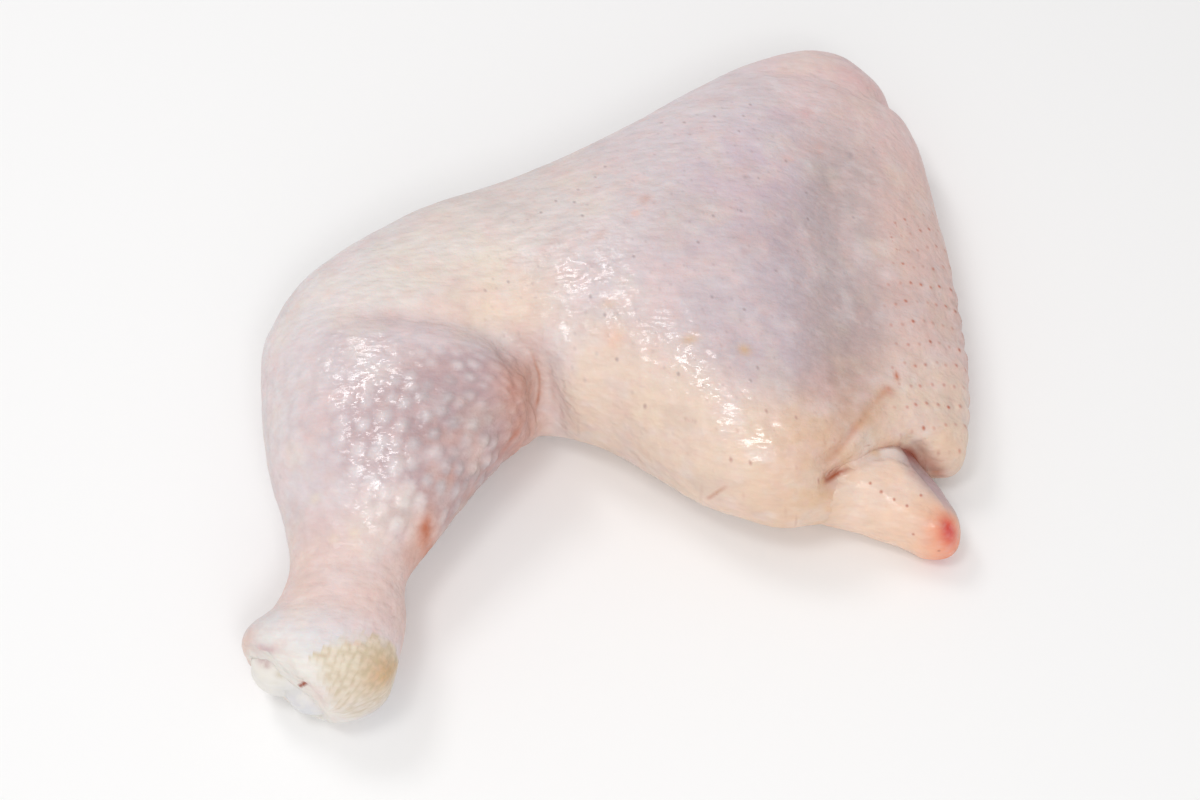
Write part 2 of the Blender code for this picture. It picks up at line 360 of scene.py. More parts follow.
WIDE_CREASES = (
    Crease("knee fold", (
        (-78, 15, 0.3), (-62, 10, 0.7), (-48, 8, 1.2), (-36, 7, 2.0),
        (-26, 5, 3.2), (-18, 1, 4.8), (-14, -4, 6.0), (-12, -12, 6.0)), 4.0),
    Crease("calf shoulder", (
        (-60, 2, -0.4), (-48, 0, -1.0), (-36, -2, -1.8),
        (-27, -4, -2.6), (-21, -8, -2.4), (-20, -16, -0.5)), 8.0),
    Crease("valley before the flap", (
        (52, 68, 0.8), (55, 48, 2.4), (59, 22, 3.0), (60, 5, 2.6), (58, -8, 1.2), (55, -18, 0.2)), 12.0),
    Crease("roll of the hem", (
        (56, -16, -0.4), (64, -12, -1.2), (72, -9, -1.6), (79, -10, -1.6), (85, -13, -0.8)), 5.0),
    Crease("under the hem", (
        (50, -30, 0.2), (55, -26, 1.4), (62, -23, 2.0), (70, -19, 2.2), (77, -18, 1.8), (84, -21, 0.5)), 3.2),
    Crease("rim at the hip", (
        (28, 80, 0.3), (42, 85, 1.0), (56, 84, 1.3), (66, 81, 1.4), (73.5, 84, 2.2)), 3.5),
)
NARROW_CREASES = (
    Crease("slanting fold in the corner", (
        (-25, 3, 0.1), (-23.5, 0, 0.6), (-20, -6, 0.6), (-19, -11, 0.2)), 1.0),
    Crease("fold in the corner", (
        (-16.5, 3, 0.1), (-15.2, 0.7, 0.6), (-13.9, -1.6, 0.9), (-15.8, -5.5, 0.9), (-16.5, -9, 0.5)), 0.8),
    Crease("second fold in the corner", ((-12.5, 1, 0.1), (-11.8, -3, 0.5), (-13.0, -7, 0.4)), 0.9),
    Crease("roll in the corner", ((-17.8, 1, -0.1), (-17.6, -3, -0.5), (-18.4, -9, -0.4)), 1.0),
    Crease("fold above the hem", (
        (50, -25.5, 0.2), (52.5, -22.9, 0.8), (55.6, -20.6, 0.9), (58.4, -16.6, 0.6), (60.6, -14.6, 0.3),
        (63.6, -9.8, 0.4), (65.4, -6.4, 0.1)), 0.9),
    Crease("roll above the hem", (
        (54, -23.5, -0.3), (58.5, -19.8, -0.8), (62, -15.5, -0.6), (65, -11, -0.2)), 1.3),
    Crease("fold over the roll", (
        (56.5, -22.2, 0.3), (60, -19.2, 0.6), (63.5, -16.2, 0.5), (67, -13.6, 0.1)), 0.8),
    Crease("fold at the left of the hem", (
        (50.5, -28.4, 0.3), (52.7, -26.1, 1.1), (55.1, -24.1, 1.3), (58.3, -22.2, 0.6)), 1.1),
    Crease("second fold above the hem", ((61, -17, 0.2), (64, -12.5, 0.5), (68, -8.5, 0.2)), 1.0),
    Crease("hollow under the hem", (
        (70, -15.8, 0.3), (72.5, -15.4, 1.6), (75.5, -15.8, 1.8), (77.5, -17, 0.4)), 1.5),
    Crease("corner of the flap", ((81, -20, 0.6), (85.5, -18, 1.5), (89, -15, 0.7)), 2.8),
)
print(len(WIDE_CREASES), "wide and", len(NARROW_CREASES), "narrow creases")

# %% Pressing the creases in
CREASE_FULL = 0.25
CREASE_NONE = -0.75


def near_line(line, points):
    """Distance from each point to a line of (x, y, value) seen from above, or of (x, y, z, value) in space,
    the value at the nearest place on it, and the side of the line from above: 1 is left of it, -1 right."""
    line = np.array(line, float)
    axes = line.shape[1] - 1
    nearest = np.full(points.shape[:-1], np.inf)
    value, side = np.zeros(points.shape[:-1]), np.zeros(points.shape[:-1])
    for start, end in zip(line[:-1], line[1:]):
        run = end[:axes] - start[:axes]
        share = np.clip(((points[..., :axes] - start[:axes]) @ run) / (run @ run), 0, 1)
        away = np.linalg.norm(points[..., :axes] - start[:axes] - share[..., None] * run, axis=-1)
        closer = away < nearest
        nearest = np.where(closer, away, nearest)
        value = np.where(closer, start[axes] + share * (end[axes] - start[axes]), value)
        turned = run[0] * (points[..., 1] - start[1]) - run[1] * (points[..., 0] - start[0])
        side = np.where(closer, np.where(turned < 0, -1.0, 1.0), side)
    return nearest, value, side


def pressed(creases, points):
    """How deep all the creases press at each point: depth * exp(-(distance / reach)^2), added up."""
    total = np.zeros(points.shape[:-1])
    for crease in creases:
        away, depth, _ = near_line(crease.line, points)
        total += depth * np.exp(-((away / crease.reach) ** 2))
    return total


def outward(grid):
    """The unit normal at each point of a grid of rings: the cross product of the steps round the ring and
    from ring to ring. The sign makes them point away from the rings' middles."""
    around = (np.roll(grid, -1, 1) - np.roll(grid, 1, 1)) / 2
    normal = np.cross(around, np.gradient(grid, axis=0))
    normal = normal / np.maximum(np.linalg.norm(normal, axis=2, keepdims=True), TINY)
    return normal * np.sign((normal * (grid - grid.mean(axis=1, keepdims=True))).sum())


def raised(grid, height):
    """The grid with each point moved out along its normal by its height in mm."""
    return grid + outward(grid) * height[..., None]


on_top = ramp(leg_up, CREASE_NONE, CREASE_FULL) * leg_end
leg = raised(leg, -pressed(WIDE_CREASES, leg) * on_top)
leg_shape = leg.copy()
print("deepest crease", pressed(WIDE_CREASES, leg).max().round(1), "mm")

# %% [markdown]
# ## Follicles and goose bumps
#
# Each follicle is a small mound, and some hold a dark dot. On the drumstick they stand in staggered rows
# about 3 mm apart, on the flap in rows that fan out. Scattering thousands of little domes would cost far more
# triangles. Here every point of the surface finds its nearest follicle on a lattice with a little disorder,
# and a bell curve of that distance raises the skin. The same distance is kept as an attribute, so that the
# dots in the material sit exactly on the mounds.

# %% Follicles
class Lattice(NamedTuple):
    """Staggered rows of follicles: the spacing in a row and of the rows, in mm, the disorder from 0 to 1, and
    the layer of random numbers that it starts with."""

    spacing: float
    rows: float
    disorder: float
    shift: int


def nearest_follicle(u, v, lattice):
    """Offset in u and v from the nearest follicle, in mm, and that follicle's own luck from 0 to 1. Of the
    nine cells round a point, the follicle with the least (u - a)^2 + (v - b)^2 is the nearest."""
    row0 = np.floor(v / lattice.rows)
    best = np.full(u.shape, np.inf)
    du, dv, luck = np.zeros(u.shape), np.zeros(u.shape), np.zeros(u.shape)
    for row_step, step in np.ndindex(3, 3):
        row = row0 + row_step - 1
        stagger = 0.5 * (row % 2)
        place = np.floor(u / lattice.spacing - stagger) + step - 1
        i, j = place.astype(int) % DICE_SIDE, row.astype(int) % DICE_SIDE
        a = (place + 0.5 + stagger + 0.5 * lattice.disorder * DICE[i, j, lattice.shift]) * lattice.spacing
        b = (row + 0.5 + 0.5 * lattice.disorder * DICE[i, j, lattice.shift + 1]) * lattice.rows
        away = (u - a) ** 2 + (v - b) ** 2
        closer = away < best
        best = np.where(closer, away, best)
        du, dv = np.where(closer, u - a, du), np.where(closer, v - b, dv)
        luck = np.where(closer, 0.5 + 0.5 * DICE[i, j, lattice.shift + 2], luck)
    return du, dv, luck


THIGH_SLOPE = 0.35
DRUM_LATTICE = Lattice(4.7, 4.3, 0.55, 3)
THIGH_LATTICE = Lattice(4.6, 4.2, 0.6, 9)
FLAP_LATTICE = Lattice(2.76, 5.3, 0.22, 15)
FLAP_MIDDLE = 80.0
FLAP_SLOPE = 0.36
FLAP_SLOPE_HIGH = 0.50
FLAP_STEEPER_AT = (Y, 27, 40)
FLAP_PHASE = 2.65

# Along the drumstick u is the distance along its middle line, and v the distance round it from the crown.
crown = int(np.argmin(np.abs(turn - np.pi / 2)))
middle_line = leg[:, crown]
along = np.concatenate([[0], np.cumsum(np.linalg.norm(np.diff(middle_line, axis=0), axis=1))])[:, None]
steps = np.linalg.norm(np.diff(leg, axis=1), axis=2)
round_it = np.concatenate([np.zeros((len(leg), 1)), np.cumsum(steps, axis=1)], axis=1)
round_it -= round_it[:, crown : crown + 1]
drum = nearest_follicle(along + 0 * round_it, round_it, DRUM_LATTICE)
thigh = nearest_follicle(leg[..., 0], leg[..., 1] + THIGH_SLOPE * leg[..., 0], THIGH_LATTICE)

# On the flap the rows rise to the right, more steeply towards the hip. u is x, and v is y less that rise.
flap_slope = FLAP_SLOPE + FLAP_SLOPE_HIGH * window(leg, FLAP_STEEPER_AT)
flap_v = leg[..., 1] - flap_slope * (leg[..., 0] - FLAP_MIDDLE) + FLAP_PHASE
flap = nearest_follicle(leg[..., 0], flap_v, FLAP_LATTICE)
flap = (flap[0], flap[1] + flap_slope * flap[0], flap[2])
print("drumstick", along[-1, 0].round(), "mm along the middle line")

# %% [markdown]
# ## Where the bumps stand up
#
# The bumps are strong on the inner side of the calf, softer towards its outer side and faint on the thigh,
# and there are none on the smooth band over the knee. Soft spots, each an ellipse that fades out as a bell
# curve, say how high the bumps are in each place.

# %% Soft spots
class Spot(NamedTuple):
    """A soft ellipse on the leg from above: its middle and two radii in mm, its turn in degrees and its
    amount, which is a height in mm, a share from 0 to 1 or a weight. On a steep face it also has a height
    over the table and a radius upwards."""

    name: str
    middle: tuple
    radii: tuple
    turn: float
    amount: float
    height: float = 0.0
    upwards: float = 1e6


def bell(spot, points):
    """exp(-distance^2), with the distance counted in the spot's own radii."""
    c, s = np.cos(np.radians(spot.turn)), np.sin(np.radians(spot.turn))
    x, y = points[..., 0] - spot.middle[0], points[..., 1] - spot.middle[1]
    first, second = (c * x + s * y) / spot.radii[0], (c * y - s * x) / spot.radii[1]
    high = (points[..., 2] - spot.height) / spot.upwards
    return np.exp(-(first**2) - second**2 - high**2)


def highest(spots, points):
    """The largest of the spots' amounts at each point."""
    return np.max([spot.amount * bell(spot, points) for spot in spots], axis=0)


DRUM_BUMPS = (
    Spot("inner side of the calf", (-31, -21), (16, 17), 40, 1.30),
    Spot("middle of the calf", (-50, -22), (16, 18), 0, 0.50),
    Spot("outer side of the calf", (-70, -14), (14, 22), 0, 0.28),
    Spot("below the calf", (-46, -38), (12, 9), 0, 0.42),
)
THIGH_BUMPS = (
    Spot("wet part of the thigh", (12, 8), (34, 22), -35, 0.20),
    Spot("upper thigh", (30, 42), (40, 30), 30, 0.09),
    Spot("low thigh", (36, -16), (26, 14), -20, 0.12),
)
FLAP_BUMPS = (
    Spot("flap", (82, 18), (14, 30), 0, 0.26),
    Spot("low flap", (76, -6), (14, 10), 0, 0.16),
)
print(len(DRUM_BUMPS + THIGH_BUMPS + FLAP_BUMPS), "places with bumps")

# %% Goose bumps
KNEE_FOLD_AT = ((-84, 14), (-62, 9), (-48, 7), (-36, 6), (-26, 3), (-18, -2), (-14, -8), (-10, -16))
BELOW_FOLD = 6.0
SMOOTH_BAND = (4.0, -2.0)
SMOOTH_BAND_AT = (X, -4, -10)
SIDES = (-0.7, 0.1)
MOUND_WIDTH = 0.34
MOUND_HEIGHTS = (0.65, 0.5)
PATCH_LEVEL = 0.85
PATCHES = ((0.35, 9.0, 4),)

fold_y = np.interp(leg[..., 0], *np.array(KNEE_FOLD_AT).T)
below_fold = ramp(leg[..., 1], fold_y, fold_y - BELOW_FOLD)
on_band = window(leg, (Y, fold_y + SMOOTH_BAND[0], fold_y + SMOOTH_BAND[1]), SMOOTH_BAND_AT)
sides = ramp(leg_up, *SIDES)
patchy = PATCH_LEVEL + layered(leg, PATCHES)


def mounds(offsets, lattice):
    """exp(-(distance from the follicle / width)^2), a little uneven in height."""
    away = np.hypot(offsets[0], offsets[1])
    luck = MOUND_HEIGHTS[0] + MOUND_HEIGHTS[1] * offsets[2]
    return np.exp(-((away / (MOUND_WIDTH * lattice.spacing)) ** 2)) * luck * patchy


drum_mounds = mounds(drum, DRUM_LATTICE)
thigh_mounds = mounds(thigh, THIGH_LATTICE)
flap_mounds = mounds(flap, FLAP_LATTICE)
drum_height = highest(DRUM_BUMPS, leg) * below_fold * sides
thigh_height = highest(THIGH_BUMPS, leg) * (1 - on_band) * sides
flap_height = highest(FLAP_BUMPS, leg) * sides
bumps = drum_height * drum_mounds + thigh_height * thigh_mounds + flap_height * flap_mounds
print("highest bump", bumps.max().round(2), "mm")

# %% [markdown]
# ## Unevenness, wrinkles and scales
#
# Between the bumps the skin is slack: broad swells over the muscles, small wrinkles across the ankle, fine
# streaks on the thigh and, on the hock, the horny scales of the foot begin. All of them are heights along the
# normal, so they are added up before the surface is moved once.

# %% Fine relief
SCALE_LATTICE = Lattice(2.0, 1.8, 0.55, 21)
KNOB_MIDDLE = (-68.0, 14.0)
KNOB_RADIUS = 13.0
SCALES_TOP = ((-66, 5.0), (-60, 2.0), (-54, -0.8), (-50, -1.6), (-44, -2.2))
SCALES_LEFT = ((3, -65.0), (12, -61.0), (20, -57.6), (28, -56.5))
ANKLE = (Spot("ankle", (-57, -52), (20, 11), 0, 1.0),)
WET = (
    Spot("calf", (-53, -11.5), (14, 12), 0, 1.0),
    Spot("low calf", (-51, -28), (9, 14), 0, 1.0),
    Spot("thigh over the knee", (-3, 17), (8, 5), -10, 1.0),
    Spot("knee pit", (-7, 4), (6, 6), 0, 0.9),
    Spot("middle of the thigh", (7, 6), (11, 7), -40, 0.9),
    Spot("low thigh", (21, -7), (15, 11), -30, 1.0),
    Spot("thigh by the hem", (34, -20), (13, 7), -15, 1.0),
)
SWELLS = ((0.55, 24.0, 1), (0.30, 11.0, 2), (0.12, 5.0, 3))
FINE = ((0.05, 3.0, 12), (0.03, 1.9, 13))
STREAK_TURN = np.array([[0.97, -0.24, 0.0], [0.24, 0.97, 0.0], [0.0, 0.0, 1.0]])
STREAK_SIZES = np.array([7.0, 1.6, 4.0])
STREAKS_AT = (X, -20, 5)
WRINKLE_SIZES = np.array([6.0, 1.4, 3.0])
SCALE_EDGE = (0.95, 0.50)
SCALES_AT = (Y, -60, -62)
RAGGED = ((0.8, 3.0, 14),)
RAGGED_BY_SCALE = 1.6
RAGGED_BORDER = (-1.2, 2.2)
RIBS_AT = ((X, 68, 76), (Y, -14, -8), (Y, 42, 30))
RIBS_HIGHER_AT = (X, 78, 88)
RIBS_LEAST = 0.35
SWELL_SHARE = 0.8
STREAK_HEIGHT = 0.07
WRINKLE_HEIGHT = 0.16
CRUMPLE_LEVEL = 0.35
CRUMPLE_HEIGHT = 0.5
SCALE_HEIGHT = 0.10
RIB_HEIGHT = 0.26
print(len(WET), "wet places")

# %% Scales
# The scales lie on the round front of the knob: u is x, and v is the distance round from its top.
round_knob = KNOB_RADIUS * np.arctan2(KNOB_MIDDLE[0] - leg[..., 1], leg[..., 2] - KNOB_MIDDLE[1])
scale_du, scale_dv, scale_luck = nearest_follicle(leg[..., 0], round_knob, SCALE_LATTICE)
scale_edge = ramp(np.hypot(scale_du, scale_dv), *SCALE_EDGE)
knob_front = np.stack([leg[..., 0], round_knob, 0 * round_knob], axis=2)
tile_x, tile_round = leg[..., 0] - scale_du, round_knob - scale_dv
below_top = tile_round - np.interp(tile_x, *np.array(SCALES_TOP).T)
from_left = tile_x - np.interp(tile_round, *np.array(SCALES_LEFT).T)
ragged = layered(leg, RAGGED) + RAGGED_BY_SCALE * (scale_luck - 0.5)
scaly = ramp(np.minimum(below_top, from_left) + ragged, *RAGGED_BORDER) * window(leg, SCALES_AT) * sides
print("points on the scales:", int((scaly > 0.5).sum()))

# %% Relief added up
streaks = noise(leg @ STREAK_TURN / STREAK_SIZES, 1.0, 5) * STREAK_HEIGHT * window(leg, STREAKS_AT)
wrinkles = noise(leg / WRINKLE_SIZES, 1.0, 6) * WRINKLE_HEIGHT * highest(ANKLE, leg)
crumple = (CRUMPLE_LEVEL - np.abs(noise(leg, 3.2, 31))) * highest(WET[2:], leg_shape)

# Each row of the flap stands on a rib, which scallops the flap's edge.
ribs = np.cos(2 * np.pi * (flap_v / FLAP_LATTICE.rows - 0.5))
near_edge = (RIBS_LEAST + (1 - RIBS_LEAST) * window(leg, RIBS_HIGHER_AT)) * window(leg, *RIBS_AT)
relief = bumps + layered(leg, SWELLS) * leg_end * SWELL_SHARE + layered(leg, FINE) + streaks + wrinkles
relief += SCALE_HEIGHT * scaly * scale_edge + RIB_HEIGHT * near_edge * ribs + CRUMPLE_HEIGHT * crumple
relief -= pressed(NARROW_CREASES, leg) * on_top
leg = raised(leg, relief)
print("relief from", relief.min().round(2), "to", relief.max().round(2), "mm")

# %% [markdown]
# ## The cut hock
#
# The leg was cut off through the hock's joint, so it ends in a face with torn edges. What lies beyond the
# cut is pressed back to it. The cut is made uneven with noise, as tissue is.

# %% Cut at the hock
JOINT_CUT = np.array([(-79.5, -66.5), (-58.5, -81.0)])
TORN_EDGE = ((0.7, 3.2, 7), (0.35, 1.3, 8))
TORN_LUMPS = ((0.45, 2.6, 17), (0.20, 1.4, 18))
TISSUE_AT = (X, -59, -64)
TISSUE_BELOW = -60
TISSUE_LEAN, TISSUE_LEAN_FROM = 0.36, -75
TISSUE_ROUGH = ((0.5, 3.0, 16),)
TISSUE_BORDER = (-0.6, 0.9)
TORN_BORDER = (-1, 2)
FACE_BORDER = (-1.2, 0.6)


def beyond_cut(points):
    """Distance past the cut's upright plane, negative on the leg's side, and the way out of it."""
    run = (JOINT_CUT[1] - JOINT_CUT[0]) / np.linalg.norm(JOINT_CUT[1] - JOINT_CUT[0])
    out = np.array([run[1], -run[0]])
    return (points[..., :2] - JOINT_CUT[0]) @ out, out


past, out_of_cut = beyond_cut(leg)
lean = TISSUE_LEAN * (leg[..., 0] - TISSUE_LEAN_FROM)
tissue = ramp(past + lean + layered(leg, TISSUE_ROUGH), *TISSUE_BORDER)
tissue *= window(leg, TISSUE_AT) * (leg[..., 1] < TISSUE_BELOW)
kept_back = layered(leg, TORN_EDGE) * ramp(past, *TORN_BORDER)
leg[..., :2] -= np.maximum(past - kept_back, 0)[..., None] * out_of_cut
leg = raised(leg, tissue * layered(leg, TORN_LUMPS))
cut_face = ramp(past, *FACE_BORDER)
leg[..., 2] = np.maximum(leg[..., 2], 0.0)
print("points on the cut face:", int((cut_face > 0.5).sum()))

# %% [markdown]
# ## Colours
#
# Raw chicken skin is thin, and what lies under it shows: lilac where it lies on muscle, peach and cream where
# there is fat, pink at the ankle and straw-yellow on the scales. The grounds are broad soft spots that share
# the surface between them, and the marks are small spots laid over them. The result is one colour for each
# point of the mesh.

# %% Palette
def linear(red, green, blue):
    """A colour given as screen values from 0 to 255, as the linear light values that the shader needs."""
    c = np.array([red, green, blue]) / 255
    return np.where(c <= 0.04045, c / 12.92, ((c + 0.055) / 1.055) ** 2.4)


SCREEN_COLOURS = {
    "pale pink": (213, 200, 202),
    "lilac": (211, 197, 200),
    "violet": (206, 185, 198),
    "mauve": (190, 173, 172),
    "cream": (226, 216, 208),
    "peach": (232, 208, 188),
    "warm peach": (226, 188, 158),
    "pearl": (226, 218, 219),
    "flap pink": (224, 193, 185),
    "rim pink": (230, 200, 198),
    "top pink": (222, 210, 214),
    "low mauve": (179, 155, 152),
    "grey mauve": (158, 130, 128),
    "thigh lilac": (196, 179, 186),
    "tail brown": (190, 150, 136),
    "dusk lilac": (182, 165, 167),
    "nub cream": (240, 212, 192),
    "nub peach": (238, 202, 176),
    "dusk": (184, 155, 158),
    "rose": (222, 184, 172),
    "brown rose": (200, 152, 136),
    "rust": (190, 106, 70),
    "ankle pink": (226, 200, 193),
    "blue white": (217, 217, 221),
    "straw": (225, 211, 188),
    "ochre": (212, 172, 124),
    "dark straw": (190, 172, 138),
    "milk": (232, 228, 221),
    "yellow": (242, 226, 196),
    "plum": (186, 140, 150),
    "red": (216, 32, 4),
    "orange": (242, 168, 130),
    "dark red": (138, 44, 24),
    "line rust": (186, 108, 66),
    "dot brown": (192, 112, 88),
    "dot grey": (150, 128, 132),
}
PALETTE = {name: linear(*screen) for name, screen in SCREEN_COLOURS.items()}


def shared(grounds, points):
    """The colours that the spots are named after, mixed in proportion to the spots' bell curves."""
    weights = np.array([g.amount * bell(g, points) for g in grounds]) + TINY
    weights /= weights.sum(axis=0)
    return np.tensordot(np.moveaxis(weights, 0, -1), np.array([PALETTE[g.name] for g in grounds]), axes=1)


def laid_over(colours, layers):
    """Colours laid over others in turn: colours * (1 - share) + colour * share. Each layer is the name of a
    colour and its share from 0 to 1."""
    for name, share in layers:
        share = np.clip(share, 0, 1)[..., None]
        colours = colours * (1 - share) + PALETTE[name] * share
    return colours


def marked(colours, marks, points):
    """Marks laid over colours. Each mark is the name of a colour and the soft spot where it shows."""
    return laid_over(colours, [(name, spot.amount * bell(spot, points)) for name, spot in marks])


print(len(PALETTE), "colours")

# %% Grounds of the leg
GROUNDS = (
    Spot("top pink", (24, 66), (26, 16), 25, 1.0),
    Spot("pale pink", (0, 40), (26, 14), 25, 1.0),
    Spot("pale pink", (14, 14), (22, 18), 0, 1.0),
    Spot("thigh lilac", (34, 16), (20, 22), 0, 1.2),
    Spot("violet", (34, 46), (12, 14), 0, 0.9),
    Spot("mauve", (57, 34), (9, 34), -4, 1.1),
    Spot("low mauve", (57, 6), (8, 11), 0, 0.9),
    Spot("tail brown", (57, -9), (7, 10), -20, 1.1),
    Spot("rim pink", (62, 78), (18, 12), -40, 1.1),
    Spot("flap pink", (80, 34), (12, 26), 0, 1.2),
    Spot("peach", (78, -6), (13, 10), 0, 1.2),
    Spot("peach", (30, -24), (24, 9), -25, 1.6),
    Spot("peach", (4, -8), (14, 10), -20, 1.4),
    Spot("warm peach", (50, -25), (14, 8), 30, 2.5),
    Spot("peach", (-24, 14), (12, 9), -20, 1.2),
    Spot("cream", (-40, 22), (20, 9), 12, 1.6),
    Spot("pearl", (-66, 22), (14, 10), 35, 1.6),
    Spot("cream", (-14, 36), (18, 12), 20, 0.8),
    Spot("lilac", (-44, 0), (24, 5), 3, 1.5),
    Spot("pearl", (-74, -12), (8, 22), 0, 1.1),
    Spot("lilac", (-58, -18), (12, 20), 0, 1.2),
    # Dusk lilac darkens the drumstick's inner side, which faces away from the light: painted shade over a
    # darker tone of its own.
    Spot("dusk lilac", (-31, -22), (12, 13), 40, 1.7),
    Spot("rose", (-16, -8), (5, 8), 0, 1.6),
    Spot("pearl", (-10, -5), (3, 7), 0, 1.0),
    Spot("pearl", (-48, -36), (10, 8), 0, 0.9),
    Spot("ankle pink", (-58, -50), (18, 9), 0, 1.6),
    Spot("ankle pink", (-52, -60), (20, 6), 0, 1.0),
    Spot("blue white", (-62, -66), (16, 5), -8, 1.6),
    Spot("milk", (-72, -72), (8, 7), 0, 1.8),
)
print(len(GROUNDS), "grounds")

# %% Marks of the leg
LEG_MARKS = (
    ("orange", Spot("glow round the streak", (-40.2, -40), (2.4, 5.0), -25, 0.5)),
    ("rust", Spot("streak on the shin", (-40.0, -39.0), (1.1, 3.0), -20, 1.0)),
    ("brown rose", Spot("streak above the ankle", (-43.2, -45), (1.6, 3.5), -10, 0.6)),
    ("rust", Spot("mark on the flap", (69.8, -1.0), (0.6, 1.1), 0, 1.0)),
    ("rust", Spot("mark below it", (67.8, -5.7), (1.3, 1.1), 40, 0.7)),
    ("ochre", Spot("streak above the hem", (65.0, -10.5), (1.6, 3.5), -32, 0.3)),
    ("cream", Spot("pale roll above the hem", (61.5, -17.5), (4.5, 1.6), 35, 0.6)),
    ("dusk", Spot("shade by the corner", (-24, -10), (6, 7), 0, 0.5)),
    ("brown rose", Spot("inner side by the corner", (-21.5, -10.5), (3.5, 5.5), 0, 0.5)),
    ("rust", Spot("rust in the corner", (-19.5, -9), (2.4, 5.5), 5, 0.34)),
    ("tail brown", Spot("brown between the folds", (-17.5, -5), (2.4, 5), 0, 0.5)),
    ("rust", Spot("rust at the inner edge", (-20, -17), (5, 2.2), 40, 0.5)),
    ("brown rose", Spot("pink spot", (10.6, 36), (1.8, 1.2), 30, 0.55)),
    ("orange", Spot("orange spot", (8.5, 32), (1.2, 0.9), 30, 0.35)),
    ("brown rose", Spot("pink spot", (0, 27), (1.4, 1.0), 30, 0.4)),
    ("ochre", Spot("ochre spot", (33, -3.4), (1.4, 1.2), 0, 0.75)),
    ("ochre", Spot("ochre patch", (20.6, -1.2), (2.0, 1.1), 15, 0.6)),
    ("orange", Spot("orange of the knee pit", (3.2, 1.2), (2.6, 3.0), 20, 0.28)),
    ("ochre", Spot("ochre of the knee pit", (2.2, 8.7), (1.8, 1.1), 0, 0.4)),
    ("red", Spot("pink of the rim", (66, 86), (7, 3), -25, 0.12)),
    ("red", Spot("pink spot", (50.7, 67.6), (2.0, 2.6), 0, 0.16)),
    ("dot grey", Spot("grey shade", (45, 64), (5, 3), 20, 0.25)),
    ("yellow", Spot("yellow bump", (-64.5, -35), (1.3, 1.0), 0, 0.35)),
    ("yellow", Spot("yellow bump", (-60, -44), (1.2, 1.0), 0, 0.35)),
    ("yellow", Spot("yellow bump", (-55.5, -43), (1.2, 1.0), 0, 0.35)),
    ("orange", Spot("left corner of the hock", (-79, -66), (3, 2.5), 0, 0.30)),
    ("warm peach", Spot("lower edge of the flap", (82, -14), (5, 4), 0, 0.5)),
    ("rust", Spot("brown edge of the hollow", (77.6, -15.7), (3.4, 1.8), -25, 0.5, 13.2, 2.2)),
    ("rust", Spot("brown end of the hollow", (80.4, -16.9), (2.0, 1.5), -30, 0.5, 9.4, 2.2)),
    ("dark red", Spot("hollow under the hem", (74.3, -14.8), (2.6, 1.6), -8, 0.6, 16.2, 2.0)),
    # Rust at the left of the fold is painted shade where the fold meets the thigh, with a brown tint.
    ("rust", Spot("brown at the left of the fold", (53.0, -26.5), (2.6, 3.2), -10, 0.25)),
    ("ochre", Spot("warm hem", (48.0, -30.0), (5.0, 4.0), 0, 0.2)),
    ("violet", Spot("violet patch", (42.5, 66.5), (5.0, 2.5), 0, 0.5)),
    ("violet", Spot("violet patch", (31, 40), (5, 4), 0, 0.5)),
    ("violet", Spot("violet patch", (24, 22), (5, 3), 0, 0.4)),
    ("dot grey", Spot("dark speck", (61, 57), (0.6, 0.9), 0, 0.6)),
    ("dot grey", Spot("dark speck", (35, 43.4), (0.8, 0.45), 0, 0.7)),
    ("dot grey", Spot("grey streak", (54, 48.5), (1.3, 4.5), 0, 0.3)),
    ("brown rose", Spot("rose streak", (53.5, 57.5), (1.2, 2.5), 0, 0.3)),
    ("orange", Spot("orange speck", (45, 51.5), (1.2, 1.0), 0, 0.25)),
)
print(len(LEG_MARKS), "marks")

# %% Lines of flesh and of painted shade, and marks of the cut
# A line is the name of a colour, its (x, y, strength) or (x, y, z, strength) in mm, and its reach.
FLESH_AND_SHADE_LINES = (
    ("rust", (
        (50.7, -28.4, 23, 0.1), (52.3, -26.2, 23.5, 0.5), (55.1, -24.1, 23.5, 0.6), (58.3, -22.6, 22.7, 0.2)),
        1.0),
    ("ochre", ((50.4, -30.2, 21, 0.3), (50.7, -28.0, 24, 0.5), (52.0, -26.5, 25, 0.3)), 1.4),
    ("ochre", (
        (51, -24.6, 0.2), (52.5, -22.9, 0.4), (55.6, -20.6, 0.4), (58.4, -16.6, 0.15), (61.0, -14.6, 0.35),
        (63.6, -9.4, 0.2), (65.4, -6.4, 0.4)), 1.8),
    ("ochre", ((56.5, -22.2, 0.2), (60, -19.2, 0.4), (63.5, -16.2, 0.4), (67, -13.6, 0.2)), 0.9),
    ("rust", (
        (65.3, -16.7, 23.5, 0.1), (69.1, -15.3, 21.4, 0.5), (71.9, -14.3, 18.1, 0.7),
        (75.4, -14.7, 14.4, 0.7), (78.9, -16.4, 12.1, 0.7), (80.0, -16.9, 10.0, 0.7),
        (81.2, -17.1, 8.3, 0.4)), 1.0),
    # The grey-mauve line is painted shade in the slanting fold in the corner.
    ("grey mauve", (
        (-24.4, 2.8, 0.1), (-23.4, 0.4, 0.4), (-21.8, -2.8, 0.7), (-20.1, -6.0, 0.4), (-19, -9, 0.1)), 1.0),
    ("brown rose", ((-17, 0, 0.1), (-17.2, -4, 0.5), (-17.6, -9, 0.5)), 1.8),
    ("rust", (
        (-22.5, -17.5, 20, 0.3), (-21, -15.4, 23, 0.5), (-18.7, -13, 25.8, 0.4), (-17.5, -10.5, 24, 0.2)),
        1.6),
    ("plum", ((-79, -67, 0.2), (-75.3, -69.3, 0.6), (-70, -71, 0.25), (-66, -72, 0.1)), 0.9),
    ("rust", (
        (-14, -9, 12, 0.3), (-19, -16, 14, 0.6), (-24, -19.5, 12, 0.35), (-30, -25, 12, 0.2),
        (-36, -34, 12, 0.3), (-40, -42, 14, 0.8), (-42, -49, 12, 0.5), (-43, -58, 12, 0.15)), 3.0),
)
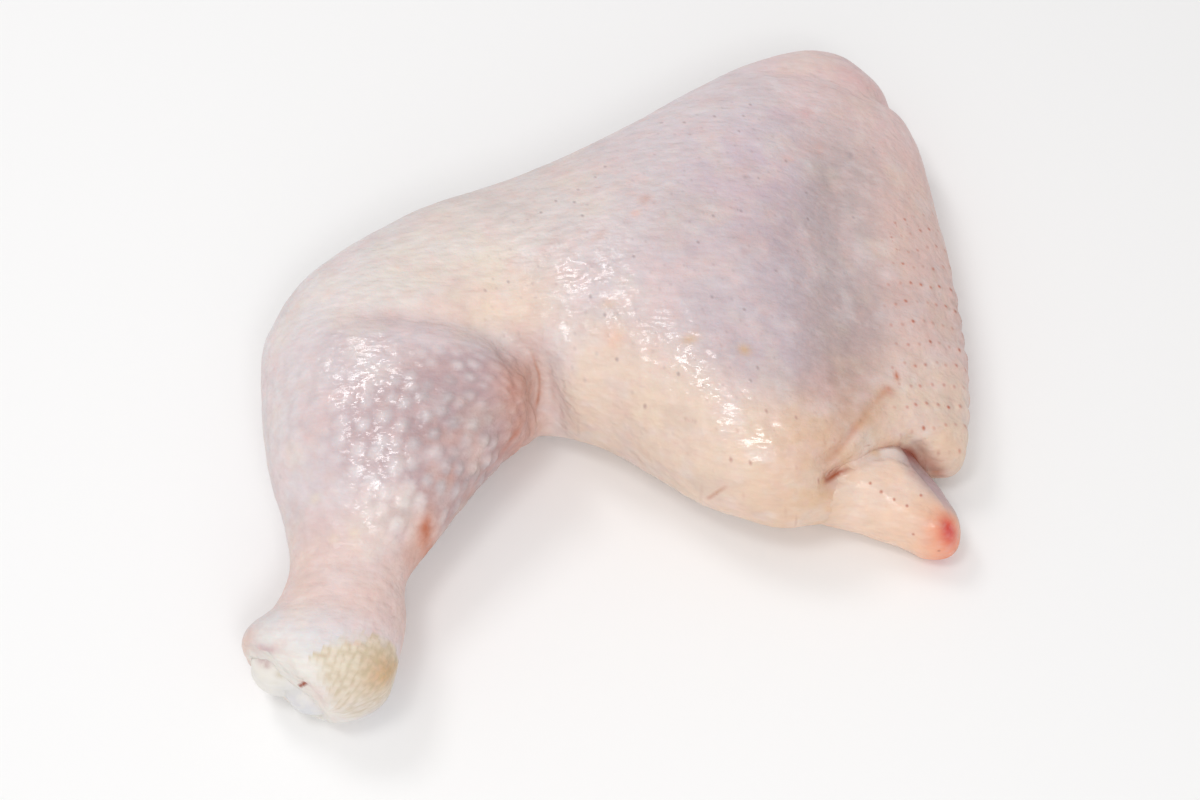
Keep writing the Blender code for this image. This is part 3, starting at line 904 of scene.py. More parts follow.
TISSUE_MARKS = (
    ("plum", Spot("stain on the cut", (-75.3, -69.4), (2.4, 1.6), -20, 0.75, 20.5, 2.4)),
    ("dark red", Spot("mark on the cut", (-74.3, -70.8), (0.9, 0.7), 0, 0.6, 19.0, 0.6)),
    ("dark straw", Spot("speck on the cut", (-71.4, -72.8), (1.0, 1.0), 0, 0.5, 18.5, 0.9)),
    ("rust", Spot("red round the slit", (-66.0, -76.0), (1.8, 1.6), 0, 0.35, 20.6, 2.6)),
    ("ankle pink", Spot("pink of the cut", (-62.5, -78), (2.5, 3.0), 0, 0.7, 17.0, 5.0)),
)
print(len(FLESH_AND_SHADE_LINES), "lines and", len(TISSUE_MARKS), "marks of the cut")

# %% Colour of the leg
UNEVEN = (0.75, 0.6)
TINTS = (
    ("yellow", 9, 61, 0.22), ("rim pink", 7, 63, 0.40), ("dot grey", 8, 65, 0.16), ("pearl", 5, 67, 0.35),
    ("rose", 4, 69, 0.22))
TINT_AMOUNT = 0.75
TINT_SPREAD = (0.05, 0.9)
BRIGHTNESS = 0.035
INNER_CALF = Spot("lower inner calf", (-33, -27), (9, 9), 40, 1)
OCHRE_SCALES = Spot("ochre scales", (-47.5, 9), (4.5, 7), 0, 1)
CREAM_SCALES = Spot("cream scales in front", (-56, 21), (9, 7), 0, 1)


def tinted(colours, points, height):
    """Patches of a few tints, each a few mm wide, and a finer unevenness of brightness, over the skin."""
    colours = laid_over(colours, [
        (name, TINT_AMOUNT * most * height * ramp(rough(points, size, 3, shift), *TINT_SPREAD))
        for name, size, shift, most in TINTS])
    return colours * (1 + BRIGHTNESS * rough(points, 2.5, 2, 71)[..., None])


# The goose bumps are also shaded in paint: dusk in the valleys between them is painted shade, browner on the
# lower inner calf, and pearl on their tops is painted light.
valleys = ramp(drum_height, 0.1, 0.6) * ramp(drum_mounds, 0.45, 0.05)
brown_valley_shade = valleys * bell(INNER_CALF, leg_shape) * ramp(noise(leg_shape, 4.0, 73), -0.4, 0.4)
leg_colour = laid_over(shared(GROUNDS, leg_shape), (
    ("dusk", 0.8 * valleys),
    ("brown rose", 0.6 * brown_valley_shade),
    ("pearl", 0.50 * ramp(drum_height, 0.15, 0.5) * ramp(drum_mounds, 0.35, 1.0)),
    ("rose", 0.7 * ramp(flap_height, 0.05, 0.2) * ramp(flap_mounds, 0.2, 1.0)),
))
leg_colour = laid_over(tinted(leg_colour, leg_shape, 1.0), (
    ("straw", 0.85 * scaly),
    ("ochre", 0.95 * scaly * bell(OCHRE_SCALES, knob_front)),
    ("cream", 0.8 * scaly * bell(CREAM_SCALES, knob_front)),
    ("dark straw", 0.5 * scaly * (1 - scale_edge) * (0.6 + 0.6 * scale_luck)),
    ("milk", 0.9 * np.maximum(tissue, cut_face)),
))
leg_colour = marked(leg_colour, LEG_MARKS + TISSUE_MARKS, leg_shape)
uneven = UNEVEN[0] + UNEVEN[1] * rough(leg_shape, 2.4, 2, 75)
for name, line, reach in FLESH_AND_SHADE_LINES:
    away, strength, _ = near_line(line, leg_shape)
    leg_colour = laid_over(leg_colour, [(name, strength * np.exp(-((away / reach) ** 2)) * on_top * uneven)])
leg_colour = np.clip(leg_colour, 0, 1)
print("mean colour", leg_colour.mean((0, 1)).round(3))

# %% [markdown]
# ## Dots in the follicles
#
# Some follicles hold a dark dot: red-brown on the flap and grey on the thigh. The attribute holds, at each
# point, the offset from its nearest follicle and how strong that follicle's dot is. Offsets are straight-line
# functions of place, so the triangles carry them without loss, and the material can draw a dot much smaller
# than a triangle. Far from a follicle the strength is 0, which hides the jump from one follicle to the next.

# %% Dot attribute
FLAP_DOT_REACH = 1.1
THIGH_DOT_REACH = 1.0
THIGH_DOT_CHANCE = 0.6
DARK_DOT_CHANCE = 0.10
DARK_DOT, FAINT_DOT = 0.55, 0.20
DOT_FULL = 0.6
FLAP_DOT_LEAST = 0.35
FLAP_DOTS_AT = ((X, 64, 70), (Z, 5, 11))
RED_DOTS_AT = (Y, -8, -22)


def dots(offsets, chance, strength, reach):
    """Offset in u, offset in v and strength. The strength is 0 for unlucky follicles and beyond the reach."""
    away = np.hypot(offsets[0], offsets[1])
    shown = (offsets[2] < chance) * strength * ramp(away, reach, DOT_FULL * reach)
    return np.stack([offsets[0], offsets[1], shown], axis=2)


flap_strength = (FLAP_DOT_LEAST + (1 - FLAP_DOT_LEAST) * flap[2] ** 2) * ramp(flap_height, 0.03, 0.12)
flap_strength = flap_strength * window(leg, *FLAP_DOTS_AT)
flap_dots = dots(flap, 1.0, flap_strength, FLAP_DOT_REACH)
thigh_strength = np.where(thigh[2] < DARK_DOT_CHANCE, DARK_DOT, FAINT_DOT) * ramp(thigh_height, 0.01, 0.05)
thigh_dots = dots(thigh, THIGH_DOT_CHANCE, thigh_strength, THIGH_DOT_REACH)
on_flap = (flap_height > thigh_height)[..., None]
leg_dots = np.where(on_flap, flap_dots, thigh_dots)
leg_redness = np.maximum(1.0 * on_flap, 0.7 * window(leg_shape, RED_DOTS_AT)[..., None])
leg_dots[..., 2] *= 1 - np.maximum(tissue, scaly)
print("strongest dots", flap_dots[..., 2].max().round(2), thigh_dots[..., 2].max().round(2))

# %% [markdown]
# ## Fine lines
#
# A few creases hold a thin line of blood or shadow, much thinner than the mesh's triangles. They are drawn
# like the dots: each point knows how far it is from the nearest line, with a sign for the side, and the
# material colours and sinks the skin where that distance is almost 0.

# %% Fine lines
class FineLine(NamedTuple):
    """A thin line of (x, y, strength) from above, or (x, y, z, strength) in space, half its width in mm and
    its tone: 0 is rust, 1 is dark red."""

    name: str
    line: tuple
    half_width: float
    tone: float


FINE_LINES = (
    FineLine("fold in the corner", (
        (-16.8, 3.4, 0), (-15.3, 0.9, 0.4), (-14.3, -0.8, 0.55), (-14.3, -2.2, 0.4), (-14.8, -3.4, 0.6),
        (-15.6, -5.2, 0)), 0.35, 0.1),
    FineLine("fold above the hem", (
        (51.5, -25, 0), (52.5, -22.9, 0.25), (54.6, -21.1, 0.4), (57.2, -18.6, 0.3), (58.7, -16.2, 0.4),
        (60.9, -13.7, 0.2), (63.4, -10, 0.15), (66, -6.4, 0.4), (67.5, -3, 0)), 0.8, 0.0),
    FineLine("scratch", (
        (24.6, -28.6, 18.0, 0), (25.3, -28.7, 19.1, 0.4), (26.8, -29.1, 22.4, 0.5), (28.5, -29.2, 25.2, 0.3),
        (29.2, -29.2, 26.4, 0)), 0.5, 0.0),
    FineLine("left end of the crease", (
        (51.5, -27.0, 23.4, 0), (52.3, -26.2, 23.3, 0.7), (53.8, -25.0, 22.6, 1), (55.2, -23.9, 22.6, 1),
        (56.8, -23.4, 23.0, 0.7), (58.3, -22.8, 22.9, 0.3), (60.0, -22.0, 22.8, 0)), 0.7, 0.45),
    FineLine("upper brown mark", (
        (61.4, -18.6, 25.2, 0), (62.3, -18.4, 25.0, 0.8), (63.4, -18.0, 24.6, 0)), 0.5, 0.3),
    FineLine("lower brown mark", (
        (61.8, -19.5, 23.6, 0), (62.9, -19.3, 23.2, 0.7), (64.2, -19.0, 22.8, 0)), 0.5, 0.2),
    FineLine("slit in the cut", (
        (-67.1, -75.7, 18.3, 0), (-66.6, -75.9, 19.4, 1), (-65.4, -76.3, 21.8, 1), (-64.6, -76.6, 23.3, 0)),
        0.5, 0.7),
)
LINE_REACH = 1.8
FULL_SHARE = 0.7


def fine_lines(points):
    """For each point the signed distance to the nearest fine line, in half widths, and that line's strength
    and tone."""
    best = np.full(points.shape[:-1], np.inf)
    values = np.zeros(points.shape)
    for fine in FINE_LINES:
        away, strength, side = near_line(fine.line, points)
        strength = strength * ramp(away, LINE_REACH, FULL_SHARE * LINE_REACH)
        closer = (away < best)[..., None]
        best = np.minimum(best, away)
        found = np.stack([away * side / fine.half_width, strength, np.full(away.shape, fine.tone)], axis=-1)
        values = np.where(closer, found, values)
    return values


print(len(FINE_LINES), "fine lines")

# %% [markdown]
# ## From grids to meshes
#
# A grid of rings becomes a closed mesh: a quad between each four neighbours, and a fan to one point at each
# end. The sign of the enclosed volume tells whether the faces point out, and if not, they are turned.

# %% Mesh maker
def enclosed(points, faces):
    """Volume inside a closed mesh of triangles, negative if the faces point in."""
    a, b, c = points[faces[:, 0]], points[faces[:, 1]], points[faces[:, 2]]
    return (a * np.cross(b, c)).sum() / 6


def with_ends(values):
    """A grid of values as one list, with the mean of the first and of the last ring added for the ends."""
    flat = values.reshape(-1, values.shape[-1])
    return np.vstack([flat, values[0].mean(axis=0), values[-1].mean(axis=0)])


KINDS = {1: ("FLOAT", "value"), 3: ("FLOAT_VECTOR", "vector"), 4: ("FLOAT_COLOR", "color")}


def closed_mesh(name, grid, colours, **values):
    """A smooth object from a grid of rings in mm. Its colours and the other values become attributes."""
    rows, around = grid.shape[:2]
    index = np.arange(rows * around).reshape(rows, around)
    nxt = np.roll(index, -1, axis=1)
    quads = np.stack([index[:-1], nxt[:-1], nxt[1:], index[1:]], axis=2).reshape(-1, 4)
    first = np.stack([nxt[0], index[0], np.full(around, rows * around)], axis=1)
    last = np.stack([index[-1], nxt[-1], np.full(around, rows * around + 1)], axis=1)
    points = with_ends(grid)
    triangles = np.vstack([quads[:, :3], quads[:, [0, 2, 3]], first, last])
    if enclosed(points, triangles) < 0:
        quads, first, last = quads[:, ::-1], first[:, ::-1], last[:, ::-1]
    mesh = bpy.data.meshes.new(name)
    mesh.from_pydata(
        ((points + TO_MIDDLE) * MM).tolist(), [], quads.tolist() + first.tolist() + last.tolist())
    values["colour"] = np.concatenate([colours, np.ones((rows, around, 1))], axis=2)
    for key, amounts in values.items():
        kind, field = KINDS[amounts.shape[2]]
        mesh.attributes.new(key, kind, "POINT").data.foreach_set(field, with_ends(amounts).ravel())
    mesh.shade_smooth()
    made = bpy.data.objects.new(name, mesh)
    scene.collection.objects.link(made)
    print(name, len(triangles), "triangles")
    return made


LEAST_WET = 0.12
WET_AT = (Y, -58, -50)
leg_wet = np.clip(LEAST_WET + highest(WET, leg_shape), 0, 1) * window(leg, WET_AT)
print("wet share of the leg", leg_wet.mean().round(2))

# %% [markdown]
# ## The fold of flank skin
#
# Under the hem a fold of skin comes out and lies on the table, a flat-bottomed cone with a red tip. It is a
# loft of its own that starts inside the thigh, so the line where it comes out is a real crease.

# %% Rings of the fold
class Ring(NamedTuple):
    """A cut across the fold, in mm: its middle from above, half its width, and its heights."""

    name: str
    middle: tuple
    half_width: float
    level: float
    crown: float
    belly: float


FLANK_FOLD = (
    Ring("root", (50, -10), 15, 12, 4.5, 12),
    Ring("base", (57.4, -16.4), 14.4, 12, 11.4, 12),
    Ring("middle", (66.8, -21.9), 11.5, 10.5, 11.0, 10.5),
    Ring("neck", (75.8, -28.4), 8.2, 9, 9.2, 9),
    Ring("tip", (83.7, -36.1), 4.7, 6.3, 6.0, 6.3),
)
FOLD_ROWS = 140
FOLD_AROUND = 200
FOLD_FULLNESS = 2.4
FOLD_ROOT_ROUNDING = 0.7
FOLD_TIP_ROUNDING = 0.6
FOLD_CREASES = (
    Crease("dent behind the ridge", (
        (71, -17, 0.4), (76, -21, 1.0), (80, -26, 0.8), (83, -31, 0.2)), 2.6),
    Crease("ridge of the fold", (
        (62, -26, -0.3), (70.8, -31.2, -1.0), (78.7, -34.4, -0.8), (82, -36, -0.2)), 2.0),
    Crease("wrinkle at the root", (
        (59, -22.5, 0.5), (62, -20.5, 0.7), (67, -18.5, 0.7), (72, -19.5, 0.5)), 0.9),
    Crease("roll at the root", (
        (60, -21, -0.4), (64, -18.5, -0.8), (69, -16.8, -0.7), (72, -17.5, -0.3)), 1.1),
    Crease("wrinkle at the left", (
        (54, -25.5, 0.6), (57, -26, 0.5), (60, -27.5, 0.1)), 1.0),
)
FACET_EDGE = (
    (70.5, -14.5, 1), (71.9, -17, 1), (74, -20.8, 1), (77, -23.8, 1), (80.2, -28.5, 0.7), (82, -32, 0))
FACET_SOFTNESS = (-0.3, 0.9)
FACET_DEPTH = 0.45
FOLD_SWELLS = ((0.30, 7.0, 21), (0.12, 3.0, 22))
FOLD_TOP = (-0.5, 0.3)
print(len(FLANK_FOLD), "rings and", len(FOLD_CREASES), "creases")

# %% Fold grid
def fold_grid(rows, turn):
    """The fold as rings across its curved middle line. x and y step sideways from the line, z is up."""
    places = np.linspace(0, len(FLANK_FOLD) - 1, rows)
    middle = smooth_through([r.middle for r in FLANK_FOLD], places)
    half_width, level, crown, belly = smooth_through([r[2:] for r in FLANK_FOLD], places).T[:, :, None]
    ahead = np.gradient(middle, axis=0)
    ahead /= np.linalg.norm(ahead, axis=1, keepdims=True)
    across, up = superellipse(turn[None, :], FOLD_FULLNESS)
    end = rounded_ends(places, len(FLANK_FOLD) - 1, FOLD_ROOT_ROUNDING, FOLD_TIP_ROUNDING)
    x = middle[:, :1] + ahead[:, 1:] * half_width * across * end
    y = middle[:, 1:] - ahead[:, :1] * half_width * across * end
    z = level + end * np.where(up > 0, crown, belly) * up
    return np.stack([x, y, z], axis=2), ramp(up, *FOLD_TOP)


fold_turn = np.linspace(0, 2 * np.pi, FOLD_AROUND, endpoint=False)
fold, fold_top = fold_grid(FOLD_ROWS, fold_turn)
fold_shape = fold.copy()
print("fold grid", fold.shape)

# %% Where the fold meets the thigh
FILLET_REACH = 6.0
FILLET_HEIGHT = 2.2
FILLET_BOX = np.array([(38, -44, 0), (64, -22, 26)])
FILLET_AT = ((Z, 23.5, 18.0), (Z, 5, 11), (X, 63, 56), (X, 38, 44))


def within(points, box, margin=0.0):
    """Which points lie in a box that is widened by a margin."""
    return ((points > box[0] - margin) & (points < box[1] + margin)).all(axis=-1)


def nearest_of(points, places):
    """For each point the number of the nearest place, and its distance, from |p|^2 + |q|^2 - 2 p.q."""
    squared = (points**2).sum(1)[:, None] + (places**2).sum(1) - 2 * points @ places.T
    return squared.argmin(axis=1), np.sqrt(np.maximum(squared.min(axis=1), 0))


def fillet(points, other):
    """How far points move out towards another grid's surface: height * (1 - distance / reach)^2. It's only
    at the lower left of the fold, where its skin runs on into the thigh's. Higher up the crease stays."""
    inside = within(points, FILLET_BOX)
    chosen = points[inside]
    _, away = nearest_of(chosen, other[within(other, FILLET_BOX, FILLET_REACH)])
    lift = np.zeros(points.shape[:-1])
    lift[inside] = FILLET_HEIGHT * np.maximum(1 - away / FILLET_REACH, 0) ** 2 * window(chosen, *FILLET_AT)
    return lift


CONTACT_BOX = np.array([(44, -36, 6), (88, -8, 32)])
CONTACT_MARGIN = 3.0
CONTACT_DARKER_AT = (X, 62, 72)
CONTACT_LEAST = 0.02
CONTACT_HALF_WIDTHS = (0.5, 0.6, 0.5)
CONTACT_TONES = (0.35, 0.4)
# Where the contact line shows: blood-red in the hollow and at its right end, and a thin line of painted shade
# along the hem.
CONTACT_MARKS = (
    Spot("blood in the hollow", (74.0, -15.5), (3.6, 3.0), -10, 1.0),
    Spot("thin shadow", (68.0, -16.8), (8.0, 3.0), 18, 0.3),
    Spot("right end", (79.0, -17.5), (5.0, 4.0), -40, 1.0),
)


def contact_lines(points, other):
    """The line where two surfaces meet, as a fine line of painted shade, with blood in the hollow under the
    hem:
    the height of each point over the other surface, measured along that surface's normal at its nearest point,
    then a strength and a tone."""
    inside, near = within(points, CONTACT_BOX), within(other, CONTACT_BOX, CONTACT_MARGIN)
    places, normals = other[near], outward(other)[near]
    chosen = points[inside]
    nearest, away = nearest_of(chosen, places)
    height = ((chosen - places[nearest]) * normals[nearest]).sum(axis=1)
    strength = highest(CONTACT_MARKS, chosen) * ramp(away, LINE_REACH, FULL_SHARE * LINE_REACH)
    thin, in_hollow, at_end = CONTACT_HALF_WIDTHS
    half_width = thin + in_hollow * bell(CONTACT_MARKS[0], chosen) + at_end * bell(CONTACT_MARKS[-1], chosen)
    values = fine_lines(points)
    tone = CONTACT_TONES[0] + CONTACT_TONES[1] * window(chosen, CONTACT_DARKER_AT)
    found = np.stack([height / half_width, strength, tone], axis=1)
    values[inside] = np.where((strength > CONTACT_LEAST)[:, None], found, values[inside])
    return values


print("contact lines within", CONTACT_BOX.tolist())

# %% Fold in place
away, share, side = near_line(FACET_EDGE, fold)
facet = share * ramp(away * side, *FACET_SOFTNESS) * fold_top
fold_relief = layered(fold, FOLD_SWELLS) - pressed(FOLD_CREASES, fold) * fold_top
fold = raised(fold, fold_relief - FACET_DEPTH * facet)
leg_lift, fold_lift = fillet(leg, fold), fillet(fold, leg)
leg, fold = raised(leg, leg_lift), raised(fold, fold_lift)
for grid in (leg, fold):
    grid[..., 2] = np.maximum(grid[..., 2], 0.0)
print("fold", np.ptp(fold.reshape(-1, 3), axis=0).round(1), "mm")

# %% Colours and dots of the fold
FOLD_GROUNDS = (
    Spot("nub cream", (61, -26), (9, 8), 0, 1.4),
    Spot("nub peach", (69, -30), (9, 7), -30, 1.3),
    Spot("pearl", (62, -19.5), (6, 2.5), 20, 1.2),
    # The mauve ground on the fold's right facet is partly painted shade, as that facet faces away from the
    # light.
    Spot("mauve", (77, -20.5), (6, 4), -35, 1.8),
    Spot("orange", (80, -36), (5.0, 4.0), -30, 1.4),
    Spot("nub peach", (75, -35), (6, 4), -20, 1.2),
)
FOLD_MARKS = (
    # The first two marks darken the fold's right facet: painted shade over its own grey-mauve tone.
    ("dusk", Spot("grey facet", (78.0, -21.5), (6.0, 3.2), -45, 0.85)),
    ("grey mauve", Spot("dark end of the facet", (75.2, -18.8), (4.0, 2.4), -38, 0.9)),
    ("orange", Spot("orange round the tip", (80.4, -35.0), (5.0, 4.0), 0, 0.9)),
    ("red", Spot("red round the tip", (81.3, -34.2), (3.2, 3.0), 0, 0.5)),
    ("red", Spot("red tip", (81.4, -34.0), (1.9, 1.9), 0, 1.0)),
    ("dark red", Spot("hollow under the hem", (74.0, -15.8), (2.8, 1.8), -8, 0.9)),
    ("rust", Spot("edge of the hollow", (79, -18), (3.4, 1.4), -35, 0.7)),
    ("brown rose", Spot("rose spot", (73.2, -22.5), (1.3, 1.3), 0, 0.6)),
    ("ochre", Spot("brown under the hem", (64, -18.6), (1.8, 1.0), 0, 0.6)),
)
FOLD_DOTS = np.array([
    (62.7, -26.0, 21.4), (65.2, -27.8, 20.6), (68.2, -29.4, 19.8), (71.2, -30.6, 18.9), (73.1, -34.9, 12.8),
    (79.4, -37.3, 8.9), (74.7, -27.6, 18.4)])
FOLD_DOT_STRENGTH = 0.8
RIDGE_WET = Spot("ridge", (75, -33), (8, 2.5), -20, 1)
RIDGE_LEAST_WET = 0.25
NEAR_LEG = (76, 66)
print(len(FOLD_GROUNDS), "grounds,", len(FOLD_MARKS), "marks and", len(FOLD_DOTS), "dots")

# %% Meshes of the leg and the fold
def dot_offsets(points, centres):
    """The offset from the nearest centre, along two directions that lie in the surface at that centre: one
    level, the other across it. On a steep side a dot stays round that way."""
    places, normals = points.reshape(-1, 3), outward(points).reshape(-1, 3)
    steps = places[:, None] - centres
    squared = (steps**2).sum(axis=2)
    facing = normals[squared.argmin(axis=0)]
    level = np.cross((0, 0, 1), facing)
    level /= np.linalg.norm(level, axis=1, keepdims=True)
    across = np.cross(facing, level)
    nearest = squared.argmin(axis=1)
    step = steps[np.arange(len(places)), nearest]
    offset = np.stack([(step * level[nearest]).sum(axis=1), (step * across[nearest]).sum(axis=1)], axis=1)
    return offset.reshape(*points.shape[:2], 2), np.sqrt(squared.min(axis=1)).reshape(points.shape[:2])


# Towards the thigh the fold takes over the thigh's own grounds.
near_leg = ramp(fold_shape[..., 0] - 0.5 * fold_shape[..., 1], *NEAR_LEG)[..., None]
fold_colour = shared(FOLD_GROUNDS, fold_shape) * (1 - near_leg) + shared(GROUNDS, fold_shape) * near_leg
# Dusk over the facet is painted shade: the facet faces away from the light.
fold_colour = laid_over(tinted(fold_colour, fold_shape, 0.6), [("dusk", 0.75 * facet)])
fold_colour = np.clip(marked(fold_colour, FOLD_MARKS, fold_shape), 0, 1)
offset, away = dot_offsets(fold, FOLD_DOTS)
strength = FOLD_DOT_STRENGTH * ramp(away, FLAP_DOT_REACH, DOT_FULL * FLAP_DOT_REACH)
fold_dots = np.concatenate([offset, strength[..., None]], axis=2)
fold_wet = np.clip(RIDGE_LEAST_WET + bell(RIDGE_WET, fold_shape), 0, 1)
leg_skin = closed_mesh(
    "leg_skin", leg, leg_colour, dots=leg_dots, redness=leg_redness, wet=leg_wet[..., None],
    lines=contact_lines(leg, fold))
flank_fold = closed_mesh(
    "flank_fold", fold, fold_colour, dots=fold_dots, redness=np.ones_like(fold[..., :1]),
    wet=fold_wet[..., None], lines=contact_lines(fold, leg))

# %% [markdown]
# ## The hock's cartilage
#
# Smooth lobes of the joint show in the cut, bluish white and wet. They are ellipsoids that overlap. From a
# point inside all of them, a ray in any direction leaves each one at a known distance. The largest of those
# distances is their joined outline, and a soft maximum rounds the grooves: ln(sum of exp(softness * d)) /
# softness. That needs no Boolean and no remesh.

# %% Cartilage
LOBES = (
    ((-72.5, -68.3, 10.5), (6.5, 5.5, 7.0)),
    ((-64.8, -72.5, 9.5), (6.5, 5.5, 7.0)),
    ((-66.0, -66.0, 10.5), (7.0, 7.0, 6.0)),
    ((-70.5, -68.8, 15.0), (8.0, 5.6, 5.6)),
)
LOBE_MIDDLE = np.array([-68.4, -69.5, 11.4])
LOBE_SOFTNESS = 2.2
LOBE_ROWS = 60
LOBE_AROUND = 96
LOBE_SPARE = 0.25
LOBE_SWELLS = ((0.35, 4.0, 41), (0.06, 1.8, 42))
BLUE_LOBE = Spot("bluest part", (-66.5, -76), (6, 5), 0, 1, 9, 7)
PINK_AT = (X, -64, -60)


def reach_of_lobe(rays, middle, radii):
    """Distance from LOBE_MIDDLE along each ray to the far side of an ellipsoid that holds it."""
    start = (LOBE_MIDDLE - middle) / radii
    step = rays / radii
    a = (step**2).sum(axis=-1)
    b = (step * start).sum(axis=-1)
    return (-b + np.sqrt(b**2 - a * ((start**2).sum() - 1))) / a


height_angle = np.linspace(-np.pi / 2, np.pi / 2, LOBE_ROWS + 2)[1:-1, None]
compass = np.linspace(0, 2 * np.pi, LOBE_AROUND, endpoint=False)[None, :]
rays = np.stack([
    np.cos(height_angle) * np.cos(compass),
    np.cos(height_angle) * np.sin(compass),
    np.sin(height_angle) * np.ones_like(compass),
], axis=2)
reaches = np.array([reach_of_lobe(rays, np.array(m), np.array(r)) for m, r in LOBES])
reach = np.log(np.exp(LOBE_SOFTNESS * reaches).sum(axis=0)) / LOBE_SOFTNESS
lobes = LOBE_MIDDLE + rays * np.minimum(reach, reaches.max(axis=0) + LOBE_SPARE)[..., None]
lobes = lobes + rays * layered(lobes, LOBE_SWELLS)[..., None]

lobe_colour = laid_over(np.ones(lobes.shape) * PALETTE["milk"], (
    ("blue white", 1.2 * bell(BLUE_LOBE, lobes)),
    ("ankle pink", 0.7 * window(lobes, PINK_AT)),
))
lobe_colour = np.clip(tinted(marked(lobe_colour, TISSUE_MARKS, lobes), lobes, 0.4), 0, 1)
cartilage = closed_mesh("joint_lobes", lobes, lobe_colour, lines=fine_lines(lobes))

# %% [markdown]
# ## Skin material
#
# Wet skin has a milky body, so light goes in and comes out tinted: that is subsurface scattering, a short way
# for blue and a longer way for red. Over it lies a film of moisture, which is a thin clear coat with a sharp
# shine, broken by very fine bumps. The base colour is the mesh's attribute with a little marbling over it,
# and the dots are drawn from the offsets.

# %% Node helpers
class Finish:
    """A material in the making. Each method adds a node and gives its socket, so that a finish reads as a
    formula. A value may be a socket, or a plain number or colour."""

    def __init__(self, name):
        self.material = bpy.data.materials.new(name)
        self.material.use_nodes = True
        self.tree = self.material.node_tree

    def node(self, kind, **settings):
        """A new node of this kind."""
        made = self.tree.nodes.new("ShaderNode" + kind)
        for key, value in settings.items():
            setattr(made, key, value)
        return made

    def feed(self, node, values):
        """Links each value to the node's socket of that name or number, or sets it there."""
        for key, value in values.items():
            if isinstance(value, bpy.types.NodeSocket):
                self.tree.links.new(value, node.inputs[key])
            else:
                node.inputs[key].default_value = value
        return node

    def attribute(self, name, output="Fac"):
        """One of the mesh's attributes."""
        return self.node("Attribute", attribute_name=name).outputs[output]

    def parts(self, name):
        """The three numbers of an attribute that is a vector."""
        return self.feed(self.node("SeparateXYZ"), {0: self.attribute(name, "Vector")}).outputs

    def noise(self, size, detail, stretch=(1, 1, 1), turn=0.0):
        """Noise on object coordinates, with grains of this size in mm, longer by stretch along x, y, z."""
        place = self.feed(self.node("Mapping"), {
            "Vector": self.node("TexCoord").outputs["Object"], "Rotation": (0, 0, np.radians(turn)),
            "Scale": [1 / s for s in stretch]})
        return self.feed(self.node("TexNoise"), {
            "Vector": place.outputs["Vector"], "Scale": 1 / (size * MM), "Detail": detail}).outputs["Fac"]

    def mapped(self, value, low, high, to_low, to_high):
        """A value from low to high, mapped to to_low to to_high and held there."""
        return self.feed(self.node("MapRange"), {
            "Value": value, "From Min": low, "From Max": high, "To Min": to_low, "To Max": to_high,
        }).outputs["Result"]

    def mixed(self, share, first, second, blend="MIX"):
        """Two colours mixed by a share."""
        made = self.node("Mix", data_type="RGBA", blend_type=blend)
        return self.feed(made, {0: share, 6: first, 7: second}).outputs[2]

    def product(self, first, second):
        """Two numbers multiplied."""
        return self.feed(self.node("Math", operation="MULTIPLY"), {0: first, 1: second}).outputs[0]

    def bumped(self, height, distance, strength, under=None):
        """A bump over a normal: the height in a socket, its distance in mm and its strength."""
        values = {"Height": height, "Distance": distance * MM, "Strength": strength}
        if under:
            values["Normal"] = under
        return self.feed(self.node("Bump"), values).outputs["Normal"]

    def fill(self, values):
        """Sets the shader's own sockets, and gives the finished material."""
        self.feed(self.tree.nodes["Principled BSDF"], values)
        return self.material


def paint(name):
    """A colour of the palette as a socket wants it."""
    return (*PALETTE[name], 1)


print("node helpers ready")

# %% Layers of the skin
GRAIN_TURN = 8
# Each layer of marbling has a grain (size, detail, stretch, turn), a way from noise to share, and a tint.
MARBLING = (
    ((1.1, 3.0, (6, 1, 1), GRAIN_TURN), (0.45, 0.75, 0.0, 0.8), (0.96, 0.93, 0.93, 1), "MULTIPLY"),
    ((2.2, 4.0, (2, 1, 1), GRAIN_TURN), (0.50, 0.80, 0.0, 0.16), (0.90, 0.85, 0.84, 1), "MIX"),
    ((3.0, 3.0), (0.52, 0.75, 0.0, 0.22), (0.76, 0.50, 0.47, 1), "MIX"),
)
LINE_SPREAD = (0.2, 1.6, 1.0, 0.0)
FILM_GRAIN = (5.0, 2.0)
FILM_SPREAD = (0.38, 0.55, 0.15, 1.0)
# A bump is its height in mm and its strength.
SLACK_GRAIN = (2.4, 1.5, (1.6, 1, 1), GRAIN_TURN)
SLACK_BUMP = (0.70, 0.9)
STREAK_GRAIN = (0.9, 2.0, (6, 1, 1), GRAIN_TURN)
STREAK_BUMP = (0.12, 0.6)
PORE_GRAIN = (0.7, 3.0)
PORE_BUMP = (0.14, 0.6)
DOT_BUMP = (0.12, 0.8)
LINE_BUMP = (-0.18, 0.9)
SKIN_ROUGHNESS = (0.55, 0.30)
SCATTER_SHARE = 0.15
SCATTER_DISTANCE = 1.2
SCATTER_COLOUR = (1.0, 0.45, 0.30)
FILM_ROUGHNESS = 0.12
LEG_DOT_RADIUS = 0.62
FOLD_DOT_RADIUS = 0.55
DOT_CORE = 0.2
print(len(MARBLING), "layers of marbling")

# %% Skin
def line_share(finish):
    """How much of a fine line shows at a place, and the line's colour, from the attribute of the lines."""
    side, strength, tone = finish.parts("lines")
    away = finish.feed(finish.node("Math", operation="ABSOLUTE"), {0: side}).outputs[0]
    shown = finish.product(finish.mapped(away, *LINE_SPREAD), strength)
    return shown, finish.mixed(tone, paint("line rust"), paint("dark red"))


